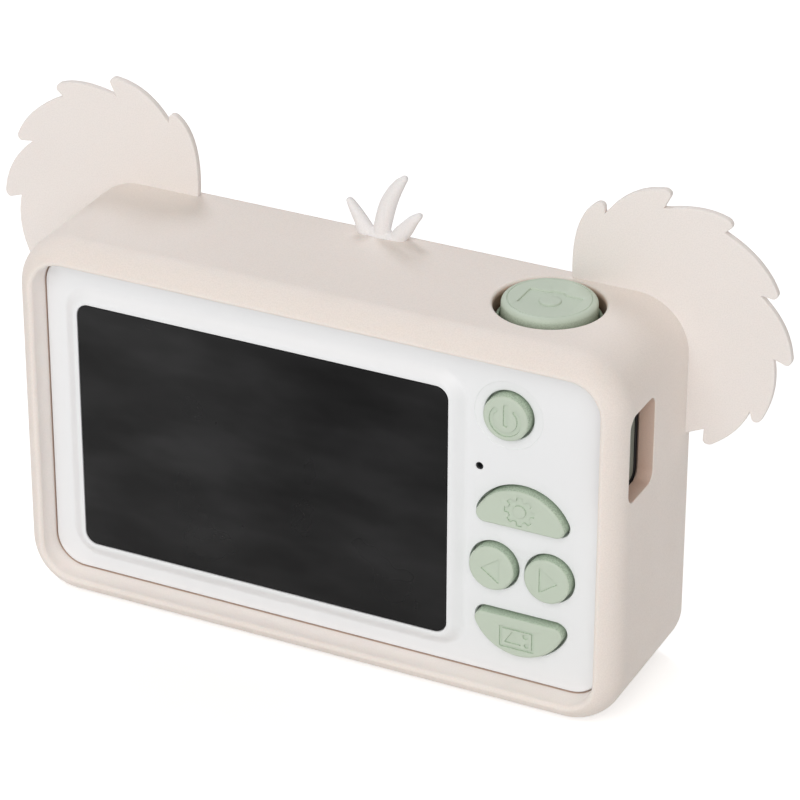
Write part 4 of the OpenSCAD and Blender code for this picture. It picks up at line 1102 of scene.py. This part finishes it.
def make_collar():
    """The slim ring that stands round the shutter button."""
    low, high = box_of("shutter_collar")
    inner, outer, edge = 7.42, 7.88, 0.18
    skin = Skin(on_top)
    skin.lathe(centre_of("shutter_collar", "xy"), [
        (inner, low.z), (outer, low.z), (outer, high.z - edge), (outer - edge, high.z),
        (inner + edge, high.z), (inner, high.z - edge)], 120)
    piece = even_shading(skin.finish("shutter_collar_ring", "key_plastic", 30))
    # painted shade: the whole collar takes the keys' darker side colour, for the shade in the shutter's hole
    mark(piece, "deep", lambda place, normal: 1)
    return piece


class KIDSCAMERA_OT_keys(bpy.types.Operator):
    """Make the five keys and the shutter button with their signs"""
    bl_idname = "kids_camera.keys"
    bl_label = "Keys and shutter button"

    def execute(self, context):
        keys = context.scene.kids_keys
        layout = key_layout()
        for name, sign, turn in (
                ("power", power_sign, 1), ("settings", gear_sign, 1), ("left", arrow_sign, -1),
                ("right", arrow_sign, 1), ("gallery", picture_sign, 1)):
            node = name + "_key"
            piece = make_key(node, layout[node], sign, turn, keys)
            hand_over(piece, name + "_body", "key_plastic", node)
        hand_over(make_shutter(keys), "shutter_body", "key_plastic", "shutter_button")
        hand_over(make_collar(), "camera", "key_plastic", "shutter_collar")
        return {"FINISHED"}


# The rear panel --------------------

def hole_rim(gap, lip, level):
    """Steps round the top edge of a hole that leaves a gap."""
    return [(gap + lip, level), (gap + lip * 0.3, level - lip * 0.3), (gap, level - lip)]


def make_panel(panel):
    """The white half of the case with its soft raised border, its dish and its holes."""
    low, high = box_of("rear_shell")
    face, plateau = PANEL_FACE, high.y
    seam, ceiling = 6.4, 7.6
    outer = slab(centre_of("rear_shell"), high.x - low.x, high.z - low.z, 4.85, 12)
    low, high = box_of("screen_window")
    middle, width, height = centre_of("screen_window"), high.x - low.x, high.z - low.z
    shelf, ledge = low.y, 2.5
    window = slab(middle, width, height, 1.9)
    opening = slab(middle, width - 2 * ledge, height - 2 * ledge, 0.5, 4)
    edge, rebate = 0.4, 1.8
    skin = Skin()
    skin.wall(outer, rounding(edge, face)[::-1] + [(0, seam), (-rebate, seam), (-rebate, ceiling)])

    lip, gap = panel.hole_edge / MM, 0.1
    start, end = (panel.border + panel.slope_out) / MM, (panel.border - panel.slope_in) / MM
    # the border rises to its plateau in a soft S
    slope = [(start + (end - start) * t, face + (plateau - face) * (t * t * (3 - 2 * t)))
             for t in (i / 12 for i in range(13))]
    skin.wall(window, slope + hole_rim(gap, lip, plateau) + [(gap, shelf)])
    skin.fill([window.grown(gap), opening.grown(0)], shelf)
    skin.wall(opening, [(0, shelf), (0, ceiling)])

    face_loops = [outer.grown(-edge), window.grown(start)]
    ceiling_loops = [outer.grown(-rebate), opening.grown(0)]
    gap = 0.36
    holes = [(outline, hole_rim(gap, lip, face)) for outline in key_layout().values()]
    # the power key, which comes first in the layout, stands in a shallow dish
    holes[0] = (holes[0][0], [(growth, face - depth) for growth, depth in (
        (1.85, 0), (1.81, 0.05), (1.74, 0.09), (0.6, 0.13), (0.45, 0.17), (gap, 0.27))])
    holes.append((disc(centre_of("microphone"), 0.6, 32), [
        (0.1, face), (0.03, face - 0.04), (0, face - 0.12)]))
    for outline, rim in holes:
        inside = rim[-1][0]
        skin.wall(outline, rim + [(inside, ceiling)])
        face_loops.append(outline.grown(rim[0][0]))
        ceiling_loops.append(outline.grown(inside))
    skin.fill(face_loops, face)
    skin.fill(ceiling_loops, ceiling)

    piece = skin.finish("rear_panel", "shell_plastic", 40)
    hole = slab((4.55, centre_of("port_cover", "yz")[1]), 6.1, 12.2, 0.05, 2)
    cut(piece, flared_cutter("port_cut", hole, on_side, -46.35, -44.5, 0.0001, -1))
    soften(piece, 40)
    return even_shading(piece)


def make_panel_posts():
    """The posts behind the panel that the case's and the board's screws go into."""
    skin = Skin()
    bore, head, root = 0.98, 1.7, 7.65
    for node, radius, base in (("case_screws", 2.1, 1.6), ("board_screws", 1.5, 4.4)):
        low, high = box_of(node)
        for x in (low.x + head, high.x - head):
            for z in (low.z + head, high.z - head):
                skin.lathe((x, z), [(bore, base), (radius, base), (radius, root), (bore, root)], 32)
    return skin.finish("panel_posts", "shell_plastic", 40)


def make_microphone_seal():
    """The dark rubber lining of the microphone's hole."""
    axis, rim, skirt = 0.0001, 9.26, 7.65
    skin = Skin()
    skin.lathe(centre_of("microphone"), [
        (axis, skirt), (0.59, skirt), (0.59, rim), (0.52, rim), (0.42, rim - 0.1),
        (0.4, skirt + 0.3), (axis, skirt + 0.3)], 40)
    return skin.finish("microphone_seal", "dark_plastic")


def cover_outline():
    low, high = box_of("port_cover")
    return slab(centre_of("port_cover", "yz"), high.y - low.y, high.z - low.z, 1.45, 8)


def make_port_shade_frame():
    """A dark frame put in the gap round the port cover as painted shade."""
    face = box_of("port_cover")[0].x
    outer, inner = face - 0.05, face + 0.79
    skin = Skin(on_side)
    skin.wall(cover_outline(), [(0.06, inner), (0.06, outer), (0.85, outer), (0.85, inner), (0.06, inner)])
    return skin.finish("port_shade_frame", "dark_plastic")


class KIDSCAMERA_OT_panel(bpy.types.Operator):
    """Make the white panel round the screen and the keys, the dark seal of the microphone, and a dark frame
    of painted shade round the port cover
    """
    bl_idname = "kids_camera.panel"
    bl_label = "White panel and seals"

    def execute(self, context):
        hand_over(make_panel(context.scene.kids_panel), "camera", "shell_plastic", "rear_shell")
        hand_over(make_panel_posts(), "camera", "shell_plastic", "rear_shell")
        hand_over(make_microphone_seal(), "camera", "dark_plastic")
        hand_over(make_port_shade_frame(), "camera", "dark_plastic")
        return {"FINISHED"}


# The port cover and the front --------------------

def make_cover():
    """The rubber cover with its soft edge, its finger dimple and its plug."""
    low, high = box_of("port_cover")
    middle = centre_of("port_cover", "yz")
    face, seat, edge = low.x, low.x + 0.8, 0.25
    outline = cover_outline()
    dimple = disc((middle[0], middle[1] + (high.z - low.z) / 4), 0.9, 40)
    skin = Skin(on_side)
    skin.wall(outline, [(-deep, face + up) for deep, up in quarter_turn(edge, 5)] + [(0, seat)])
    skin.fill([outline.grown(-edge), dimple.grown(0.15)], face)
    skin.wall(dimple, [(0.15, face), (0, face + 0.08), (-0.2, face + 0.3), (-0.45, face + 0.4)])
    skin.fill([dimple.grown(-0.45)], face + 0.4)
    plug = slab((4.55, middle[1]), 5.7, 11.8, 1, 8)
    skin.wall(plug, [(0, seat), (0, high.x - 0.2), (-0.2, high.x)])
    skin.fill([outline.grown(0), plug.grown(0)], seat)
    skin.fill([plug.grown(-0.2)], high.x)
    return even_shading(skin.finish("port_cover_skin", "cover_rubber", 42))


def make_lens_ring():
    """The ring round the lens: a rounded rim, a dished face with fine steps, and the window's seat."""
    low, high = box_of("lens_ring")
    w_low, w_high = box_of("lens_window")
    face, back, seat = low.y, high.y, w_low.y - 0.3
    radius, bore, window, rim = (high.x - low.x) / 2, 7.9, 9.4, 1.2
    inner, outer, count = 9.7, 12.4, 6
    step = (outer - inner) / count
    profile = [(bore, back), (bore, w_high.y), (window, w_high.y), (window, w_low.y - 0.15), (9.55, seat)]
    for i in range(count):
        y = seat - (seat - face - 0.1) * (i + 1) / count
        profile += [(inner + i * step, y + 0.1), (inner + (i + 1) * step - 0.08, y)]
    profile += [(12.6, face + 0.03), (12.8, face)]
    profile += [(radius - deep, face + up) for deep, up in quarter_turn(rim, 8)]
    profile.append((radius, back))
    skin = Skin()
    skin.lathe(centre_of("lens_ring"), profile, 128)
    return even_shading(skin.finish("lens_ring_skin", "ring_plastic", 30))


class Tree(Graph):
    """A geometry node tree with named inputs, put together node by node."""

    def __init__(self, name, **inputs):
        super().__init__(bpy.data.node_groups.new(name, "GeometryNodeTree"))
        face = self.tree.interface
        self.names = {}
        for label, kind in {"Geometry": "Geometry", **inputs, "Material": "Material"}.items():
            socket = face.new_socket(label, in_out="INPUT", socket_type="NodeSocket" + kind)
            self.names[label] = socket.identifier
        face.new_socket("Geometry", in_out="OUTPUT", socket_type="NodeSocketGeometry")
        self.given = self.tree.nodes.new("NodeGroupInput").outputs

    def close(self, points, **places):
        """Puts a block at each point, and hands the blocks out as one plain mesh."""
        block = self.add("GeometryNodeMeshCube", Size=self.given["Size"])
        copies = self.add("GeometryNodeInstanceOnPoints", Points=points, Instance=block.outputs[0], **places)
        real = self.add("GeometryNodeRealizeInstances", None, copies.outputs[0])
        paint = self.add("GeometryNodeSetMaterial", Geometry=real.outputs[0], Material=self.given["Material"])
        self.add("NodeGroupOutput", None, paint.outputs[0])
        return self

    def make(self, name, finish, **values):
        """Runs the tree and gives back its result as a plain mesh piece."""
        piece = add_object(name, bpy.data.meshes.new(name))
        modifier = piece.modifiers.new(name, "NODES")
        modifier.node_group = self.tree
        for label, value in {"Material": FINISHES[finish], **values}.items():
            modifier[self.names[label]] = value
        bake(piece)
        if not piece.data.polygons:
            raise RuntimeError(name + " came out empty")
        return piece


def rib_tree():
    """Blocks round a circle that lies across Y."""
    tree = Tree("rib_ring", Count="Int", Radius="Float", Size="Vector", Centre="Vector")
    line = tree.add("GeometryNodeMeshLine", Count=tree.given["Count"], Offset=(0, 0, 0))
    index = tree.add("GeometryNodeInputIndex").outputs[0]
    turn = tree.calc("MULTIPLY", tree.calc("DIVIDE", index, tree.given["Count"]), 2 * math.pi)
    way = tree.add("ShaderNodeCombineXYZ", X=tree.calc("COSINE", turn), Z=tree.calc("SINE", turn))
    reach = tree.add("ShaderNodeVectorMath", {"operation": "SCALE"}, way.outputs[0],
                     Scale=tree.given["Radius"])
    place = tree.add("ShaderNodeVectorMath", {"operation": "ADD"}, reach.outputs[0], tree.given["Centre"])
    spread = tree.add("GeometryNodeSetPosition", Geometry=line.outputs[0], Position=place.outputs[0])
    spin = tree.add("ShaderNodeCombineXYZ", Y=tree.calc("MULTIPLY", turn, -1.0))
    return tree.close(spread.outputs[0], Rotation=spin.outputs[0])


def row_tree():
    """Blocks in a straight row."""
    tree = Tree("block_row", Count="Int", Start="Vector", Step="Vector", Size="Vector")
    line = tree.add("GeometryNodeMeshLine", Count=tree.given["Count"], Start_Location=tree.given["Start"],
                    Offset=tree.given["Step"])
    return tree.close(line.outputs[0])


class KIDSCAMERA_OT_front(bpy.types.Operator):
    """Make the lens ring with its grip ribs on the front"""
    bl_idname = "kids_camera.front"
    bl_label = "Lens ring"

    def execute(self, context):
        front = context.scene.kids_front
        hand_over(make_lens_ring(), "camera", "ring_plastic", "lens_ring")
        low, high = box_of("lens_ring")
        x, z = centre_of("lens_ring")
        ribs = rib_tree().make(
            "lens_ring_ribs", "ring_plastic", Count=front.ribs, Radius=(high.x - low.x) / 2 * MM,
            Size=(2 * front.rib_height, 0.9 * MM, 0.5 * MM), Centre=(x * MM, (low.y + 0.95) * MM, z * MM))
        hand_over(ribs, "camera", "ring_plastic")
        return {"FINISHED"}


class KIDSCAMERA_OT_ports(bpy.types.Operator):
    """Make the port cover, the contacts behind it and the legs of the chips"""
    bl_idname = "kids_camera.ports"
    bl_label = "Port cover and contacts"

    def execute(self, context):
        hand_over(make_cover(), "cover_body", "cover_rubber", "port_cover")
        # the name, the count, the middle of the first block, the pitch and the size of each row
        low, high = box_of("usb_socket")
        y, z = centre_of("usb_socket", "yz")
        rows = [("charging_contacts_" + name, 12, (low.x + 2.4, y + side * 0.36, z - 2.75), 0.5,
                 (2.6, 0.06, 0.26)) for name, side in (("rear", 1), ("front", -1))]
        low, high = box_of("card_socket")
        rows.append(("card_contacts", 8, (high.x - 3.5, high.y - 0.34, centre_of("card_socket")[1] - 3.85),
                     1.1, (3.2, 0.12, 0.6)))
        for chip, count, pitch in (("processor_chip", 16, 0.7), ("memory_chip", 9, 0.75)):
            low, high = box_of(chip)
            foot = centre_of(chip)[1] - pitch * (count - 1) / 2
            rows += [(chip + "_legs_" + name, count, (x, high.y - 0.15, foot), pitch, (0.6, 0.25, 0.3))
                     for name, x in (("left", high.x + 0.25), ("right", low.x - 0.25))]
        tree = row_tree()
        for name, count, start, pitch, size in rows:
            finish = "contact_gold" if "contacts" in name else "plated_metal"
            piece = tree.make(name, finish, Count=count, Start=[v * MM for v in start],
                              Step=(0, 0, pitch * MM), Size=[v * MM for v in size])
            hand_over(piece, "camera", "plated_metal")
        return {"FINISHED"}


# The stage --------------------

def backdrop_finish(name, strength):
    """White to the camera and in reflections, plain pale to the light."""
    f = Finish(name, (0.86, 0.86, 0.86), 0.9)
    path = f.add("ShaderNodeLightPath").outputs
    mirrored = f.calc("MAXIMUM", path["Is Glossy Ray"], path["Is Transmission Ray"])
    seen = f.calc("MAXIMUM", path["Is Camera Ray"], mirrored)
    f.put(Emission_Color=(1, 1, 1, 1), Emission_Strength=f.calc("MULTIPLY", seen, strength))
    return f.material


def add_sun(name, direction, strength, spread, tint=(1, 1, 1)):
    """A sun that shines along a direction, its edge softened by spread degrees."""
    data = bpy.data.lights.new(name, "SUN")
    data.energy, data.angle, data.color = strength, math.radians(spread), tint
    sun = add_object(name, data)
    sun.rotation_euler = Vector(direction).to_track_quat("-Z", "Y").to_euler()


class KIDSCAMERA_OT_stage(bpy.types.Operator):
    """Set up the floor, the light and the camera"""
    bl_idname = "kids_camera.stage"
    bl_label = "Stage"

    def execute(self, context):
        scene, stage = context.scene, context.scene.kids_stage
        half = 3.0         # half of the floor's side in metres
        data = bpy.data.meshes.new("floor")
        corners = [(-half, -half, 0), (half, -half, 0), (half, half, 0), (-half, half, 0)]
        data.from_pydata(corners, [], [(0, 1, 2, 3)])
        data.materials.append(backdrop_finish("pale_floor", 0.5))
        floor = add_object("floor", data)

        scene.world = bpy.data.worlds.new("studio")
        scene.world.use_nodes = True
        sky = Graph(scene.world.node_tree)
        plain = sky.tree.nodes["Background"]
        sky.feed(plain.inputs["Strength"], stage.sky)
        sky.feed(plain.inputs["Color"], (*stage.sky_tint, 1))
        white = sky.add("ShaderNodeBackground")
        path = sky.add("ShaderNodeLightPath").outputs
        seen = sky.calc("MAXIMUM", path["Is Camera Ray"], path["Is Transmission Ray"])
        mix = sky.add("ShaderNodeMixShader", None, seen, plain.outputs[0], white.outputs[0])
        sky.feed(sky.tree.nodes["World Output"].inputs["Surface"], mix.outputs[0])

        add_sun("fill_light", (0.12, -0.83, -0.52), stage.fill, 60)
        add_sun("key_light", (-0.42, 0.5, -0.76), stage.key, 20, stage.key_tint)

        lens = bpy.data.cameras.new("view_camera")
        lens.sensor_fit, lens.sensor_width, lens.lens = "AUTO", stage.sensor, stage.lens
        lens.clip_start, lens.clip_end = 0.01, 20
        scene.camera = add_object("view_camera", lens)
        scene.camera.matrix_world = camera_matrix(stage)
        scene.view_settings.view_transform = "Standard"
        context.view_layer.update()
        make_finishes(scene)
        return {"FINISHED"}


class KIDSCAMERA_PT_panel(bpy.types.Panel):
    """Lists the operators and settings of the kids camera"""
    bl_idname = "KIDSCAMERA_PT_panel"
    bl_label = "Kids Camera"
    bl_space_type = "VIEW_3D"
    bl_region_type = "UI"
    bl_category = "Kids Camera"

    def draw(self, context):
        for group, operators in (
                ("stage", ("stage",)), ("sleeve", ("sleeve",)), ("panel", ("panel",)),
                ("keys", ("keys", "ports")), ("front", ("front",))):
            box = self.layout.box()
            settings = getattr(context.scene, "kids_" + group)
            for name in settings.__annotations__:
                box.prop(settings, name)
            for operator in operators:
                box.operator("kids_camera." + operator)


GROUPS = {
    "kids_sleeve": KidsCameraSleeve, "kids_panel": KidsCameraPanel, "kids_keys": KidsCameraKeys,
    "kids_front": KidsCameraFront, "kids_stage": KidsCameraStage,
}
CLASSES = (
    *GROUPS.values(), KIDSCAMERA_OT_stage, KIDSCAMERA_OT_sleeve, KIDSCAMERA_OT_panel,
    KIDSCAMERA_OT_keys, KIDSCAMERA_OT_ports, KIDSCAMERA_OT_front, KIDSCAMERA_PT_panel)


def register():
    for item in CLASSES:
        bpy.utils.register_class(item)
    for name, group in GROUPS.items():
        setattr(bpy.types.Scene, name, PointerProperty(type=group))


def unregister():
    for name in GROUPS:
        delattr(bpy.types.Scene, name)
    for item in reversed(CLASSES):
        bpy.utils.unregister_class(item)


# Measuring the result --------------------

SEEN = 0.00012         # how close in metres a ray has to come to a vertex that shows
LEVEL = 0.00002        # how far in metres a vertex of a flat face may lie off its level


def shown_vertices(piece, keep=None):
    """Pixels of the finished vertices that the camera sees."""
    scene = bpy.context.scene
    data = scene.camera.data
    into_camera, eye = scene.camera.matrix_world.inverted(), scene.camera.matrix_world.translation
    graph = bpy.context.evaluated_depsgraph_get()
    pixels = []
    for vertex in piece.evaluated_get(graph).data.vertices:
        point = piece.matrix_world @ vertex.co
        if keep and not keep(point):
            continue
        way = point - eye
        hit, place, *_ = scene.ray_cast(graph, eye, way.normalized(), distance=way.length + 0.001)
        if not hit or (place - point).length < SEEN:
            p = into_camera @ point
            scale = L * data.lens / data.sensor_width / -p.z
            pixels.append((W / 2 + p.x * scale - data.shift_x * L, H / 2 - p.y * scale + data.shift_y * L))
    return pixels


def sign_vertices(name):
    """Pixels of the vertices on a key's top face, away from the face's edge."""
    node = "shutter_button" if name == "shutter_sign" else name.replace("_sign", "_key")
    piece = bpy.data.objects["shutter_cap" if name == "shutter_sign" else node + "_cap"]
    axis = 2 if name == "shutter_sign" else 1
    low, high = (Vector(corner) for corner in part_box(node))
    middle, half = (low + high) / 2, (high - low) / 2
    top = max(vertex.co[axis] for vertex in piece.data.vertices)
    return shown_vertices(piece, lambda p: abs(p[axis] - top) < LEVEL and all(
        abs(p[i] - middle[i]) < 0.62 * half[i] for i in range(3) if i != axis))


def write_points():
    """Works out how far each thing shows from its point in the photograph."""
    objects = bpy.data.objects
    whole = [p for name in ("sleeve_body", "ear_left", "ear_right", "hair_tuft")
             for p in shown_vertices(objects[name])]
    groups = {"object": whole, "screen": shown_vertices(frame["nodes"]["screen_window"])}
    sides = {"left_x": (0, min), "right_x": (0, max), "top_y": (1, min), "bottom_y": (1, max)}
    for name, point in EDGE_POINTS.items():
        group, side = name.split("_", 1)
        axis, pick = sides[side]
        round(pick(p[axis] for p in groups[group]) - point, 2)

    def compare(name, pixels, point):
        """The middle of the pixels less the point."""
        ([round((min(values) + max(values)) / 2 - wanted, 2)
                        for values, wanted in zip(zip(*pixels), point)] or None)

    for name, point in SIGN_POINTS.items():
        compare(name, sign_vertices(name), point)
    x, z = (value * MM for value in centre_of("microphone"))
    hole = shown_vertices(objects["rear_panel"], lambda p: (
        math.hypot(p.x - x, p.z - z) < 0.75 * MM and abs(p.y - PANEL_FACE * MM) < LEVEL))
    compare("microphone_hole", hole, OTHER_POINTS["microphone_hole"])
    tip = min(shown_vertices(objects["hair_tuft"]), key=lambda p: p[1])
    compare("tuft_tip", [tip], OTHER_POINTS["tuft_tip"])


def main():
    register()
    for operator in ("stage", "sleeve", "panel", "keys", "ports", "front"):
        getattr(bpy.ops.kids_camera, operator)()
    write_points()


if __name__ == "__main__":
    main()
